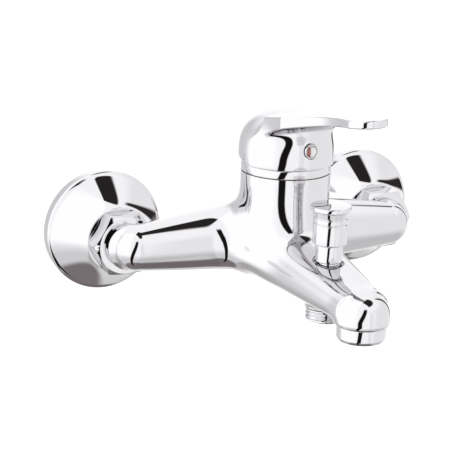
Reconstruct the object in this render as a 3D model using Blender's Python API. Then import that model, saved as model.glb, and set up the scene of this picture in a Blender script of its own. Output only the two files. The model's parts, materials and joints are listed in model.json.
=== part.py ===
"""Wall mounted bath and shower mixer, single lever, with a pull-up diverter.

Units are metres through MM, +Z is up, the wall is the plane y = 0 and the faucet
stands out towards -Y.  The origin lies on the wall, midway between the two inlets.
"""
import math

import bmesh
import bpy
import numpy as np
from mathutils import Matrix, Vector

MM = 0.001

# ---- driving dimensions, in millimetres ------------------------------------------
GAP = 0.3                    # running and seating clearance between pieces
INLET_SPACING = 150.0        # centre to centre of the two wall inlets
TOWER_Y = -61.5              # distance of the cartridge tower from the wall
TOWER_R = 22.9               # outer radius of the tower and of its trim ring
TOWER_TOP = 40.1             # top rim of the cast tower
DIVERTER_Y = -110.4          # common axis of the diverter knob and shower outlet
NOSE_Y = -145.2              # axis of the spout outlet
NOSE_R = 13.6
NOSE_BOTTOM = -15.0
BOSS_Y = -36.5               # back face of the casting's inlet bosses
BOSS_R = 11.8
BOSS_DEPTH = 5.0             # length of the round boss behind each arm end
NIPPLE_R = 7.2               # spigot of the inlet nipple
NIPPLE_BORE = 5.2
HANDLE_YAW = math.radians(2.5)

ESC_R = 31.5                 # escutcheon rim
ESC_RIM = 6.2
ESC_NECK_R = 17.0
ESC_SHEET = 1.3

PIPE_OFFSET = 6.0            # eccentricity of the wall unions
G12_R = 10.48                # half inch parallel pipe thread
G34_R = 13.22                # three quarter inch parallel pipe thread
WALL_THREAD = 14.0
WATERWAY_R = 7.4
NUT_AF = 30.0
NUT_LENGTH = 10.9

CHAMBER_R = 20.4             # cartridge chamber in the tower
CHAMBER_FLOOR = 12.6
PORT_X = 8.5
PORT_BACK = 3.5
PORT_FRONT = -8.5
PORT_R = 4.0
DISC_R = 12.3
DISC_THICK = 3.1
PIVOT_Z = 34.0
FINGER_Z = 26.5
SPINDLE_AF = 8.0
LEVER_LIFT = math.radians(15.0)

TRIM_HEIGHT = 4.7
HANDLE_R = 24.5
HANDLE_WAIST = 4.9           # height of the widest ring above the skirt
HANDLE_RISE = 26.1           # height of the crown above the skirt
HANDLE_CAVITY_R = 20.3
HANDLE_HOLLOW = 14.1         # height of the hollow above the skirt
LEVER_END = 82.6             # reach of the lever from the tower axis
PLUG_RISE = 9.6              # height of the button above the skirt
PLUG_R = 3.8

AERATOR_R = 12.1
AERATOR_BOTTOM = -22.85
AERATOR_THREAD_R = 10.6
MOUTH_TOP = -7.6

KNOB_TOP = 34.3
KNOB_R = 10.1
KNOB_BOTTOM = 15.1
KNOB_BODY_R = 8.4
BONNET_R = 6.7
STEM_R = 2.4
VALVE_TOP = 1.0              # upper end of the diverter chamber
VALVE_SEAT = -9.2            # lower seat of the diverter chamber
VALVE_R = 6.2
DIVERTER_TRAVEL = 4.8

SHOWER_BOTTOM = -23.5
SHOWER_SEAT = -16.6
POPPET_TRAVEL = 1.4

# values that follow from the ones above
INLET_X = INLET_SPACING / 2.0
TRIM_BOTTOM = TOWER_TOP + GAP
TRIM_TOP = TRIM_BOTTOM + TRIM_HEIGHT
SKIRT_Z = TRIM_TOP + GAP
HANDLE_MID = SKIRT_Z + HANDLE_WAIST
HANDLE_TOP = SKIRT_Z + HANDLE_RISE
HANDLE_ROOF = SKIRT_Z + HANDLE_HOLLOW
PLUG_Z = SKIRT_Z + PLUG_RISE
NUT_FRONT = BOSS_Y + GAP
SPIGOT_END = BOSS_Y - BOSS_DEPTH + 1.5
NUT_BACK = NUT_FRONT + NUT_LENGTH
ESC_DEPTH = -NUT_BACK - GAP
HOUSING_BORE = CHAMBER_R - 2.5
FIXED_DISC_R = (HOUSING_BORE + DISC_R + 1.0) / 2.0
BONNET_TOP = KNOB_BOTTOM - GAP


# ---- scene and materials -----------------------------------------------------------
def clear_scene():
    for old in list(bpy.data.objects):
        bpy.data.objects.remove(old, do_unlink=True)


def finish(name, colour, roughness, metallic):
    made = bpy.data.materials.new(name)
    made.use_nodes = True
    shader = made.node_tree.nodes["Principled BSDF"]
    shader.inputs["Base Color"].default_value = (*colour, 1.0)
    shader.inputs["Roughness"].default_value = roughness
    shader.inputs["Metallic"].default_value = metallic
    made.diffuse_color = (*colour, 1.0)
    return made


def finishes():
    return {
        "chrome": finish("chrome_plate", (0.86, 0.86, 0.88), 0.06, 1.0),
        "brass": finish("machined_brass", (0.74, 0.58, 0.28), 0.28, 1.0),
        "steel": finish("stainless_steel", (0.62, 0.62, 0.63), 0.3, 1.0),
        "rubber": finish("black_rubber", (0.03, 0.03, 0.03), 0.75, 0.0),
        "white": finish("white_acetal", (0.86, 0.86, 0.83), 0.45, 0.0),
        "grey": finish("grey_nylon", (0.34, 0.35, 0.37), 0.5, 0.0),
        "ceramic": finish("alumina_ceramic", (0.9, 0.88, 0.83), 0.2, 0.0),
        "jewel": finish("indicator_resin", (0.72, 0.16, 0.13), 0.12, 0.0),
    }


# ---- mesh helpers ------------------------------------------------------------------
def to_object(name, points, faces, look, smooth=40.0):
    mesh = bpy.data.meshes.new(name)
    mesh.from_pydata([tuple(float(c) * MM for c in p) for p in points], [], faces)
    piece = bpy.data.objects.new(name, mesh)
    bpy.context.collection.objects.link(piece)
    if look is not None:
        mesh.materials.append(look)
    shade(piece, smooth)
    return piece


def shade(piece, angle):
    work = bmesh.new()
    work.from_mesh(piece.data)
    bmesh.ops.recalc_face_normals(work, faces=work.faces)
    limit = math.radians(angle)
    for face in work.faces:
        face.smooth = True
    for edge in work.edges:
        if len(edge.link_faces) == 2:
            edge.smooth = edge.calc_face_angle(0.0) < limit
    work.to_mesh(piece.data)
    work.free()


def lathe(name, profile, look, frame=None, segments=20):
    """Turns a closed profile of (radius, height) about the local Z axis."""
    rings = []
    points = []
    for radius, height in profile:
        if radius < 1e-6:
            rings.append([len(points)])
            points.append((0.0, 0.0, height))
            continue
        rings.append(list(range(len(points), len(points) + segments)))
        for k in range(segments):
            turn = 2.0 * math.pi * (k + 0.5) / segments
            points.append((radius * math.cos(turn), radius * math.sin(turn), height))
    faces = []
    for low, high in zip(rings, rings[1:] + rings[:1]):
        if len(low) == 1 and len(high) == 1:
            continue
        for k in range(segments):
            n = (k + 1) % segments
            if len(low) == 1:
                faces.append((low[0], high[n], high[k]))
            elif len(high) == 1:
                faces.append((low[k], low[n], high[0]))
            else:
                faces.append((low[k], low[n], high[n], high[k]))
    frame = frame or Matrix.Identity(4)
    points = [frame @ Vector(p) for p in points]
    return to_object(name, points, faces, look)


def upright(x, y):
    return Matrix.Translation((x, y, 0.0))


def along_y(x, z=0.0):
    """Local +Z of the lathe runs along world +Y through (x, z)."""
    turn = Matrix.Rotation(-math.pi / 2.0, 4, "X")
    return Matrix.Translation((x, 0.0, z)) @ turn


def between(start, end):
    """Frame whose local Z runs from start to end, with the distance."""
    start = Vector(start)
    reach = Vector(end) - start
    turn = reach.to_track_quat("Z", "Y").to_matrix().to_4x4()
    return Matrix.Translation(start) @ turn, reach.length


def rod(name, start, end, radius, look=None, segments=20):
    frame, length = between(start, end)
    profile = [(0.0, 0.0), (radius, 0.0), (radius, length), (0.0, length)]
    return lathe(name, profile, look, frame, segments)


def drum(radius, low, high, x, y, segments=28):
    return rod("cutter", (x, y, low), (x, y, high), radius, None, segments)


def block(name, low, high, look=None, frame=None):
    frame = frame or Matrix.Identity(4)
    corners = [(x, y, z) for x in (low[0], high[0]) for y in (low[1], high[1]) for z in (low[2], high[2])]
    faces = [(0, 1, 3, 2), (4, 6, 7, 5), (0, 4, 5, 1), (2, 3, 7, 6), (0, 2, 6, 4), (1, 5, 7, 3)]
    return to_object(name, [frame @ Vector(c) for c in corners], faces, look)


def combine(piece, others, operation):
    """Applies one boolean per cutter and deletes the cutters."""
    for other in others:
        step = piece.modifiers.new("shape", "BOOLEAN")
        step.operation = operation
        step.solver = "EXACT"
        step.object = other
        other.hide_render = True
        other.display_type = "WIRE"
        graph = bpy.context.evaluated_depsgraph_get()
        result = bpy.data.meshes.new_from_object(piece.evaluated_get(graph))
        result.name = piece.name
        piece.modifiers.remove(step)
        old = piece.data
        piece.data = result
        bpy.data.meshes.remove(old)
        bpy.data.objects.remove(other, do_unlink=True)
    weld(piece)
    return piece


def weld(piece):
    work = bmesh.new()
    work.from_mesh(piece.data)
    bmesh.ops.remove_doubles(work, verts=work.verts, dist=0.00002)
    bmesh.ops.dissolve_degenerate(work, dist=0.00001, edges=work.edges)
    work.to_mesh(piece.data)
    work.free()


def cut(piece, cutters):
    return combine(piece, cutters, "DIFFERENCE")


def move_origin(piece, spot):
    """Puts the object's origin on its axis without moving the geometry."""
    spot = Vector(spot) * MM
    piece.data.transform(Matrix.Translation(-spot))
    piece.location = spot


# ---- implicit surfaces -------------------------------------------------------------
def blend(a, b, width):
    near = np.maximum(width - np.abs(a - b), 0.0) / width
    return np.minimum(a, b) - near ** 3 * width / 6.0


def capped(side, end):
    inside = np.minimum(np.maximum(side, end), 0.0)
    return inside + np.hypot(np.maximum(side, 0.0), np.maximum(end, 0.0))


def rounded_cap(side, end, radius):
    return capped(side + radius, end + radius) - radius


def through(a, b, c, t):
    """Quadratic that equals a, b and c at t = 0, 0.5 and 1."""
    return a * (1 - t) * (1 - 2 * t) + 4 * b * t * (1 - t) + c * t * (2 * t - 1)


def oval(x, z, half_x, half_z, power):
    u = np.abs(x) / half_x
    v = np.abs(z) / half_z
    reach = (u ** power + v ** power) ** (1.0 / power) + 1e-9
    slope_x = (u / reach) ** (power - 1.0) / half_x
    slope_z = (v / reach) ** (power - 1.0) / half_z
    return (reach - 1.0) / np.maximum(np.hypot(slope_x, slope_z), 1e-6)


def gradient(field, points, step=0.02):
    slope = np.zeros_like(points)
    for axis in range(3):
        shift = np.zeros(3)
        shift[axis] = step
        slope[:, axis] = (field(points + shift) - field(points - shift)) / (2.0 * step)
    return slope


def crossing_means(value, low, step):
    """Mean of the edge crossings of each grid cell, and how many there are."""
    cells = tuple(n - 1 for n in value.shape)
    total = np.zeros(cells + (3,))
    count = np.zeros(cells)
    for axis in range(3):
        near = np.moveaxis(value, axis, 0)[:-1]
        far = np.moveaxis(value, axis, 0)[1:]
        cross = (near < 0.0) != (far < 0.0)
        part = np.where(cross, near / np.where(cross, near - far, 1.0), 0.0)
        cross = np.moveaxis(cross, 0, axis)
        part = np.moveaxis(part, 0, axis)
        b, c = [a for a in range(3) if a != axis]
        for i in (0, 1):
            for j in (0, 1):
                cut_out = [slice(None)] * 3
                cut_out[b] = slice(i, i + cells[b])
                cut_out[c] = slice(j, j + cells[c])
                hit = cross[tuple(cut_out)]
                count += hit
                total[..., axis] += part[tuple(cut_out)]
                total[..., b] += hit * i
                total[..., c] += hit * j
    used = count > 0
    cell = np.argwhere(used)
    mean = total[used] / count[used][:, None]
    return used, np.array(low) + (cell + mean) * np.array(step)


def skin(name, field, low, high, step, look):
    """Meshes the zero surface of a field with one vertex per crossed grid cell."""
    axes = [np.arange(l, h + s, s) for l, h, s in zip(low, high, step)]
    grid = np.stack(np.meshgrid(*axes, indexing="ij"), -1)
    value = field(grid.reshape(-1, 3)).reshape(grid.shape[:3])
    used, points = crossing_means(value, low, step)
    index = np.full(used.shape, -1)
    index[used] = np.arange(used.sum())
    for _ in range(3):
        slope = gradient(field, points)
        size = np.maximum((slope ** 2).sum(1), 0.3)
        move = slope * (field(points) / size)[:, None]
        points = points - np.clip(move, -0.2, 0.2) * np.array(step)
    faces = []
    for axis in range(3):
        faces += crossed_quads(value < 0.0, index, axis)
    piece = to_object(name, points, faces, look, 180.0)
    work = bmesh.new()
    work.from_mesh(piece.data)
    bmesh.ops.triangulate(work, faces=work.faces)
    work.to_mesh(piece.data)
    work.free()
    return piece


def crossed_quads(inside, index, axis):
    b, c = [a for a in range(3) if a != axis]
    here = np.moveaxis(inside, (axis, b, c), (0, 1, 2))
    cell = np.moveaxis(index, (axis, b, c), (0, 1, 2))
    quads = []
    change = here[:-1] != here[1:]
    for i, j, k in np.argwhere(change[:, 1:-1, 1:-1]):
        ring = [cell[i, j, k], cell[i, j + 1, k], cell[i, j + 1, k + 1], cell[i, j, k + 1]]
        quads.append([int(v) for v in ring])
    return quads


# ---- cast body ---------------------------------------------------------------------
ARM_END_X = INLET_X - 2.0
ARM_END = (-42.0, 0.1)      # y and z of the arm axis at the inlets
ARM_ROOT = (-45.5, 3.4)      # y and z of the arm axis at the middle
ARM_END_R = 11.2
WAY_Y = ARM_END[0] - 4.5     # outer end of the waterway in each arm
ARM_ROOT_R = 18.0
SPOUT_ROOT_Y = -60.0
SPOUT_HALF = (22.6, 18.5, 13.6)
DECK = (14.7, 7.2, 0.2)
BELLY = (-15.6, -15.9, -15.2)


def arm_field(x, y, z):
    t = np.clip((INLET_X - x) / INLET_X, 0.0, 1.0)
    radius = ARM_END_R + (ARM_ROOT_R - ARM_END_R) * t + 3.0 * t * (1.0 - t)
    axis_y = ARM_END[0] + (ARM_ROOT[0] - ARM_END[0]) * t
    axis_z = ARM_END[1] + (ARM_ROOT[1] - ARM_END[1]) * t
    tube = np.hypot(y - axis_y, z - axis_z) - radius
    arm = capped(tube, x - ARM_END_X)
    u = (INLET_X - ARM_END_X) / INLET_X
    end_r = ARM_END_R + (ARM_ROOT_R - ARM_END_R) * u + 3.0 * u * (1.0 - u)
    end_y = ARM_END[0] + (ARM_ROOT[0] - ARM_END[0]) * u
    end_z = ARM_END[1] + (ARM_ROOT[1] - ARM_END[1]) * u
    ball = np.sqrt((x - ARM_END_X) ** 2 + (y - end_y) ** 2 + (z - end_z) ** 2) - end_r
    room = capped(np.hypot(x - INLET_X, z) - NUT_AF / 2.0 - 3.6, BOSS_Y - y)
    arm = -blend(-np.minimum(arm, ball), room, 4.0)
    back = np.maximum(y - BOSS_Y - 8.0, BOSS_Y - BOSS_DEPTH - y)
    boss = rounded_cap(np.hypot(x - INLET_X, z) - BOSS_R, back, 2.0)
    return blend(arm, boss, 3.0)


def spout_field(x, y, z):
    t = np.clip((SPOUT_ROOT_Y - y) / (SPOUT_ROOT_Y - NOSE_Y), 0.0, 1.0)
    top = through(*DECK, t)
    bottom = through(*BELLY, t)
    half = through(*SPOUT_HALF, t)
    tube = oval(x, z - (top + bottom) / 2.0, half, (top - bottom) / 2.0, 2.55)
    tube = capped(tube, np.maximum(y - SPOUT_ROOT_Y, NOSE_Y - y))
    across = np.hypot(x, y - NOSE_Y) - NOSE_R
    nose = rounded_cap(across, np.maximum(z - DECK[2], NOSE_BOTTOM - 20.0 - z), 10.5)
    shape = blend(tube, nose, 5.0)
    return rounded_cap(shape, np.minimum(NOSE_BOTTOM - 0.8 - z, NOSE_Y + NOSE_R + 2.0 - y), 2.4)


def body_field(points):
    x = np.abs(points[:, 0])
    y = points[:, 1]
    z = points[:, 2]
    tower = capped(np.hypot(x, y - TOWER_Y) - TOWER_R, np.maximum(z - TOWER_TOP - 6.0, -z - 2.0))
    shape = blend(arm_field(x, y, z), tower, 18.5)
    shape = blend(shape, spout_field(x, y, z), 20.7)
    seat = capped(np.hypot(x, y - DIVERTER_Y) - 10.9, np.maximum(z + 8.0, SHOWER_SEAT - 6.0 - z))
    return blend(shape, seat, 2.5)


def body_planes():
    """Half spaces that leave the machined flat faces of the casting."""
    return [
        block("cutter", (-40, TOWER_Y - 30, TOWER_TOP), (40, TOWER_Y + 30, TOWER_TOP + 20)),
        rod("cutter", (-INLET_X, BOSS_Y, 0), (-INLET_X, BOSS_Y + 20, 0), NUT_AF / 2.0 + 3.0, None, 24),
        rod("cutter", (INLET_X, BOSS_Y, 0), (INLET_X, BOSS_Y + 20, 0), NUT_AF / 2.0 + 3.0, None, 24),
        block("cutter", (-20, NOSE_Y - 20, NOSE_BOTTOM - 30), (20, NOSE_Y + 15, NOSE_BOTTOM)),
        drum(13.5, SHOWER_SEAT - 20, SHOWER_SEAT, 0, DIVERTER_Y, 17),
    ]


def diverter_bore():
    """Stepped bore: shower counterbore, lower seat, chamber and bonnet socket."""
    shower_roof = VALVE_SEAT - 1.4
    profile = [(0, SHOWER_SEAT - 9), (9.3, SHOWER_SEAT - 9), (9.3, shower_roof), (3.8, shower_roof),
               (3.8, VALVE_SEAT), (VALVE_R, VALVE_SEAT), (VALVE_R, VALVE_TOP - GAP), (7.2, VALVE_TOP - GAP),
               (7.2, VALVE_TOP + 2.4), (7.9, VALVE_TOP + 2.4), (7.9, KNOB_TOP), (0, KNOB_TOP)]
    return lathe("cutter", profile, None, upright(0, DIVERTER_Y), 28)


def body_waterways():
    inner = ARM_ROOT[1] + 0.6
    ways = [drum(CHAMBER_R, CHAMBER_FLOOR, TOWER_TOP + 30, 0, TOWER_Y, 40)]
    for side in (-1, 1):
        x = side * INLET_X
        port = side * PORT_X
        elbow = side * (INLET_X - 3)
        ways.append(rod("cutter", (x, BOSS_Y + 5, 0), (x, SPIGOT_END, 0), NIPPLE_R + GAP, None, 22))
        ways.append(rod("cutter", (elbow, SPIGOT_END + 1, 0), (elbow, WAY_Y, 0), 5.0, None, 18))
        ways.append(rod("cutter", (side * (INLET_X - 2), WAY_Y + 0.5, 0.4),
                        (side * (PORT_X - 1), TOWER_Y + PORT_BACK + 1, inner), 5.2, None, 20))
        ways.append(drum(PORT_R, inner - 1, CHAMBER_FLOOR + 1, port, TOWER_Y + PORT_BACK, 20))
    front = TOWER_Y + PORT_FRONT
    ways.append(drum(PORT_R, -3.5, CHAMBER_FLOOR + 1, 0, front, 20))
    ways.append(diverter_bore())
    ways.append(rod("cutter", (0, front + 2, -3), (0, DIVERTER_Y + 2, -4.5), 3.9, None, 18))
    mouth = AERATOR_THREAD_R + GAP
    ways.append(drum(mouth, NOSE_BOTTOM - 9, MOUTH_TOP, 0, NOSE_Y, 32))
    ways.append(rod("cutter", (0, DIVERTER_Y - 3, -4.5), (0, NOSE_Y + 4, -9.0), 3.9, None, 18))
    return ways


def mixer_body(look):
    low = (-INLET_X - 22.2, NOSE_Y - 19.7, -34.3)
    high = (INLET_X + 22.2, BOSS_Y + 20.0, TOWER_TOP + 12.0)
    body = skin("mixer_body", body_field, low, high, (5.4, 4.6, 4.6), look)
    cut(body, body_planes() + body_waterways())
    shade(body, 42.0)
    return body


# ---- wall connections --------------------------------------------------------------
def escutcheon(name, x, look):
    steps = 4
    outer = []
    for k in range(steps + 1):
        t = k / steps
        radius = ESC_NECK_R + (ESC_R - 1.0 - ESC_NECK_R) * (1.0 - t) ** 1.3
        outer.append((radius, -ESC_RIM - t * (ESC_DEPTH - ESC_RIM)))
    inner = [(r - ESC_SHEET, y + ESC_SHEET) for r, y in (outer[-1], outer[2])]
    lip = G34_R + GAP
    profile = [(ESC_R, 0.0), (ESC_R, -ESC_RIM + 1.0)] + outer
    profile += [(lip, -ESC_DEPTH), (lip, -ESC_DEPTH + ESC_SHEET)] + inner
    profile += [(ESC_R - ESC_SHEET, -ESC_RIM + 1.6), (ESC_R - ESC_SHEET, 0.0)]
    return lathe(name, profile, look, along_y(x), 36)


def s_union(name, x, look):
    """Eccentric union: wall thread, offset waist and union thread in one casting."""
    end = NUT_FRONT + 7.5
    wall = [(0, WALL_THREAD), (G12_R - 1, WALL_THREAD), (G12_R, WALL_THREAD - 1), (G12_R, -3.0), (0, -3.0)]
    piece = lathe(name, wall, look, along_y(x, PIPE_OFFSET))
    waist = lathe("waist", [(0, -2.0), (15.0, -2.0), (15.0, -12.0), (0, -12.0)], None, along_y(x, PIPE_OFFSET / 2))
    front = [(0, -8.0), (G34_R, -8.0), (G34_R, end + 1), (G34_R - 1, end), (0, end)]
    combine(piece, [waist, lathe("front", front, None, along_y(x))], "UNION")
    bores = [
        rod("cutter", (x, WALL_THREAD + 1, PIPE_OFFSET), (x, -6.0, PIPE_OFFSET), WATERWAY_R),
        rod("cutter", (x, -4.5, 0), (x, end - 1, 0), WATERWAY_R),
    ]
    cut(piece, bores)
    shade(piece, 40.0)
    return piece


def filter_washer(name, x, look):
    back = NUT_FRONT + 7.5 - GAP
    profile = [(8.2, back), (12.4, back), (12.4, back - 1.9), (8.2, back - 1.9)]
    return lathe(name, profile, look, along_y(x))


def filter_screen(name, x, look):
    back = NUT_FRONT + 7.5 - GAP
    profile = [(0, back), (7.9, back), (7.9, back - 0.8), (0, back - 0.8)]
    disc = lathe(name, profile, look, along_y(x))
    holes = []
    for ring, count in ((0.0, 1), (5.0, 6)):
        for k in range(count):
            turn = 2.0 * math.pi * k / count
            at = (x + ring * math.cos(turn), ring * math.sin(turn))
            holes.append(rod("cutter", (at[0], back + 1, at[1]), (at[0], back - 2, at[1]), 1.8, None, 6))
    cut(disc, holes)
    shade(disc, 40.0)
    return disc


def union_nut(name, x, look):
    corner = NUT_AF / math.sqrt(3.0)
    frame = along_y(x) @ Matrix.Rotation(math.pi / 6.0, 4, "Z")
    hexagon = [(0, NUT_FRONT), (corner, NUT_FRONT), (corner, NUT_BACK), (0, NUT_BACK)]
    nut = lathe(name, hexagon, look, frame, 6)
    chamfer = NUT_AF / 2.0 + 0.2
    barrel = [(0, NUT_FRONT), (chamfer, NUT_FRONT), (corner + 0.1, NUT_FRONT + 1.5),
              (corner + 0.1, NUT_BACK - 1.5), (chamfer, NUT_BACK), (0, NUT_BACK)]
    combine(nut, [lathe("barrel", barrel, None, along_y(x), 24)], "INTERSECT")
    thread = rod("cutter", (x, NUT_BACK + 1, 0), (x, NUT_FRONT + 2.2, 0), G34_R + GAP, None, 22)
    hole = rod("cutter", (x, NUT_BACK, 0), (x, NUT_FRONT - 1, 0), NIPPLE_R + GAP, None, 22)
    cut(nut, [thread, hole])
    shade(nut, 25.0)
    return nut


def inlet_nipple(name, x, look):
    flange_back = NUT_FRONT + 7.5 - GAP - 1.9 - GAP
    flange_front = NUT_FRONT + 2.2 + GAP
    end = SPIGOT_END + GAP
    profile = [(NIPPLE_BORE, flange_back), (12.7, flange_back), (12.7, flange_front), (NIPPLE_R, flange_front),
               (NIPPLE_R, end), (NIPPLE_BORE, end)]
    return lathe(name, profile, look, along_y(x))


def wall_side(side, x, looks):
    return [
        escutcheon("escutcheon_" + side, x, looks["chrome"]),
        s_union("s_union_" + side, x, looks["brass"]),
        filter_washer("filter_washer_" + side, x, looks["rubber"]),
        filter_screen("filter_screen_" + side, x, looks["steel"]),
        union_nut("union_nut_" + side, x, looks["chrome"]),
        inlet_nipple("inlet_nipple_" + side, x, looks["brass"]),
    ]


# ---- cartridge ---------------------------------------------------------------------
SEAL_TOP = CHAMBER_FLOOR + 1.7
BASE_LOW = SEAL_TOP + GAP
BASE_HIGH = BASE_LOW + 4.0
FIXED_LOW = BASE_HIGH + GAP
FIXED_HIGH = FIXED_LOW + DISC_THICK
MOVING_LOW = FIXED_HIGH + GAP
MOVING_HIGH = MOVING_LOW + DISC_THICK
CARRIER_LOW = MOVING_HIGH + GAP
CARRIER_HIGH = CARRIER_LOW + 2.2
ROTOR_LOW = CARRIER_HIGH + GAP
ROTOR_STEP = ROTOR_LOW + 3.4
HOUSING_TOP = ROTOR_STEP + GAP + 2.8
ROTOR_TOP = TRIM_TOP - 2.5
FORWARD = Vector((math.sin(HANDLE_YAW), -math.cos(HANDLE_YAW), 0.0))
LATERAL = Vector((math.cos(HANDLE_YAW), math.sin(HANDLE_YAW), 0.0))


def lever_frame(height=0.0):
    """Local +Y points back from the lever, +X to its right, on the tower axis."""
    return Matrix.Translation((0.0, TOWER_Y, height)) @ Matrix.Rotation(HANDLE_YAW, 4, "Z")


def ports():
    back = TOWER_Y + PORT_BACK
    return {"left": (-PORT_X, back), "right": (PORT_X, back), "outlet": (0.0, TOWER_Y + PORT_FRONT)}


def port_seal(name, spot, look):
    low = CHAMBER_FLOOR + GAP
    profile = [(PORT_R, low), (PORT_R + 1.5, low), (PORT_R + 1.5, SEAL_TOP), (PORT_R, SEAL_TOP)]
    return lathe(name, profile, look, upright(*spot), 16)


def ported_disc(name, radius, low, high, hole, look):
    disc = lathe(name, [(0, low), (radius, low), (radius, high), (0, high)], look, upright(0, TOWER_Y), 28)
    cut(disc, [drum(hole, low - 1, high + 1, *spot, 16) for spot in ports().values()])
    shade(disc, 40.0)
    return disc


def moving_disc(look):
    """Upper disc; the pocket underneath joins the three ports."""
    frame = lever_frame()
    profile = [(0, MOVING_LOW), (DISC_R, MOVING_LOW), (DISC_R, MOVING_HIGH), (0, MOVING_HIGH)]
    disc = lathe("ceramic_disc_moving", profile, look, frame, 28)
    pocket = [(0, MOVING_LOW - 1), (9.6, MOVING_LOW - 1), (9.6, MOVING_LOW + 1.5), (0, MOVING_LOW + 1.5)]
    cut(disc, [lathe("cutter", pocket, None, frame, 24)])
    shade(disc, 40.0)
    return disc


def disc_carrier(look):
    frame = lever_frame()
    profile = [(0, CARRIER_LOW), (DISC_R, CARRIER_LOW), (DISC_R, CARRIER_HIGH), (0, CARRIER_HIGH)]
    carrier = lathe("disc_carrier", profile, look, frame, 28)
    cut(carrier, [block("cutter", (-3.4, -3.6, FINGER_Z - 0.5), (3.4, 3.6, CARRIER_HIGH + 1), None, frame)])
    shade(carrier, 40.0)
    return carrier


def cartridge_housing(look):
    outer = CHAMBER_R - 0.5
    inner = HOUSING_BORE
    profile = [(outer, BASE_LOW), (outer, HOUSING_TOP), (11.6, HOUSING_TOP), (11.6, ROTOR_STEP + GAP),
               (inner, ROTOR_STEP + GAP), (inner, BASE_LOW)]
    return lathe("cartridge_housing", profile, look, upright(0, TOWER_Y), 28)


def cartridge_rotor(look):
    frame = lever_frame()
    wide = HOUSING_BORE - 0.4
    profile = [(0, ROTOR_LOW), (wide, ROTOR_LOW), (wide, ROTOR_STEP), (11.2, ROTOR_STEP), (11.2, ROTOR_TOP),
               (0, ROTOR_TOP)]
    rotor = lathe("cartridge_rotor", profile, look, frame, 28)
    slot = block("cutter", (-SPINDLE_AF / 2 - GAP, -8.4, ROTOR_LOW - 1), (SPINDLE_AF / 2 + GAP, 8.4, ROTOR_TOP + 1),
                 None, frame)
    reach = 11.0
    ends = [frame @ Vector((s * reach, 0, PIVOT_Z)) for s in (-1, 1)]
    cut(rotor, [slot, rod("cutter", ends[0], ends[1], 1.5 + GAP, None, 16)])
    shade(rotor, 40.0)
    return rotor


def pivot_pin(look):
    frame = lever_frame()
    reach = 10.6
    ends = [frame @ Vector((s * reach, 0, PIVOT_Z)) for s in (-1, 1)]
    return rod("pivot_pin", ends[0], ends[1], 1.5, look, 16)


def lever_spindle(look):
    frame = lever_frame()
    half = SPINDLE_AF / 2
    stem = block("lever_spindle", (-half, -half, PIVOT_Z - 3.4), (half, half, HANDLE_ROOF - 3.0), look, frame)
    finger = [(0, FINGER_Z), (2.3, FINGER_Z), (2.9, FINGER_Z + 0.8), (2.9, PIVOT_Z - 2.0), (0, PIVOT_Z - 2.0)]
    combine(stem, [lathe("finger", finger, None, frame, 16)], "UNION")
    ends = [frame @ Vector((s * (half + 1), 0, PIVOT_Z)) for s in (-1, 1)]
    cut(stem, [rod("cutter", ends[0], ends[1], 1.5 + GAP, None, 16)])
    shade(stem, 40.0)
    return stem


def retaining_nut(look):
    low = HOUSING_TOP + GAP
    high = TRIM_TOP - 1.0
    outer = CHAMBER_R - GAP
    profile = [(13.0, low), (outer, low), (outer, high - 0.8), (outer - 0.8, high), (13.0, high)]
    nut = lathe("retaining_nut", profile, look, upright(0, TOWER_Y), 28)
    notches = []
    for k in range(4):
        turn = math.pi * k / 2.0
        frame = upright(0, TOWER_Y) @ Matrix.Rotation(turn, 4, "Z")
        notches.append(block("cutter", (11.0, -2.0, high - 2.2), (16.0, 2.0, high + 1), None, frame))
    cut(nut, notches)
    shade(nut, 40.0)
    return nut


def trim_ring(look):
    inner = CHAMBER_R + GAP
    low = TRIM_BOTTOM
    high = TRIM_TOP
    profile = [(inner, low), (TOWER_R - 0.35, low), (TOWER_R, low + 0.35), (TOWER_R, high - 0.9),
               (TOWER_R - 0.3, high - 0.25), (TOWER_R - 0.9, high), (inner, high)]
    return lathe("trim_ring", profile, look, upright(0, TOWER_Y), 40)


# ---- handle ------------------------------------------------------------------------
BLADE_RISE = (28.8, 33.3, 36.8)    # top of the blade above the skirt at its root, middle and tip
BLADE_TOP = tuple(SKIRT_Z + rise for rise in BLADE_RISE)
BLADE_HALF = (19.0, 10.2, 10.4)
BLADE_THICK = (6.5, 5.0, 4.2)
BLADE_ROOT = 25.0                  # distance of the blade's root from the tower axis
TIP_CENTRE = LEVER_END - BLADE_HALF[2]


def handle_field(points):
    """Dome and forward lever, in the lever's own frame (ahead is -y)."""
    w = points[:, 0]
    s = -points[:, 1]
    z = points[:, 2]
    rise = np.maximum(z - HANDLE_MID, 0.0) / (HANDLE_TOP - HANDLE_MID)
    drop = np.maximum(HANDLE_MID - z, 0.0) / 24.0
    reach = ((np.hypot(s, w) / HANDLE_R) ** 2.4 + rise ** 2.4 + drop ** 2.4) ** (1.0 / 2.4)
    dome = (reach - 1.0) * 17.0
    t = (np.clip(s, 10.0, LEVER_END) - BLADE_ROOT) / (TIP_CENTRE - BLADE_ROOT)
    half = through(*BLADE_HALF, np.clip(t, 0.0, 1.0))
    thick = through(*BLADE_THICK, np.minimum(t, 1.0)) / 2.0
    middle = through(*BLADE_TOP, t) - thick
    edge = np.minimum(thick * 0.8, 1.2)
    side = np.hypot(w, np.maximum(s - TIP_CENTRE, 0.0)) - half + edge
    flat = np.abs(z - middle) - thick + edge
    blade = np.maximum(capped(side, flat) - edge, 10.0 - s)
    return blend(dome, blade, 9.0)


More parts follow.
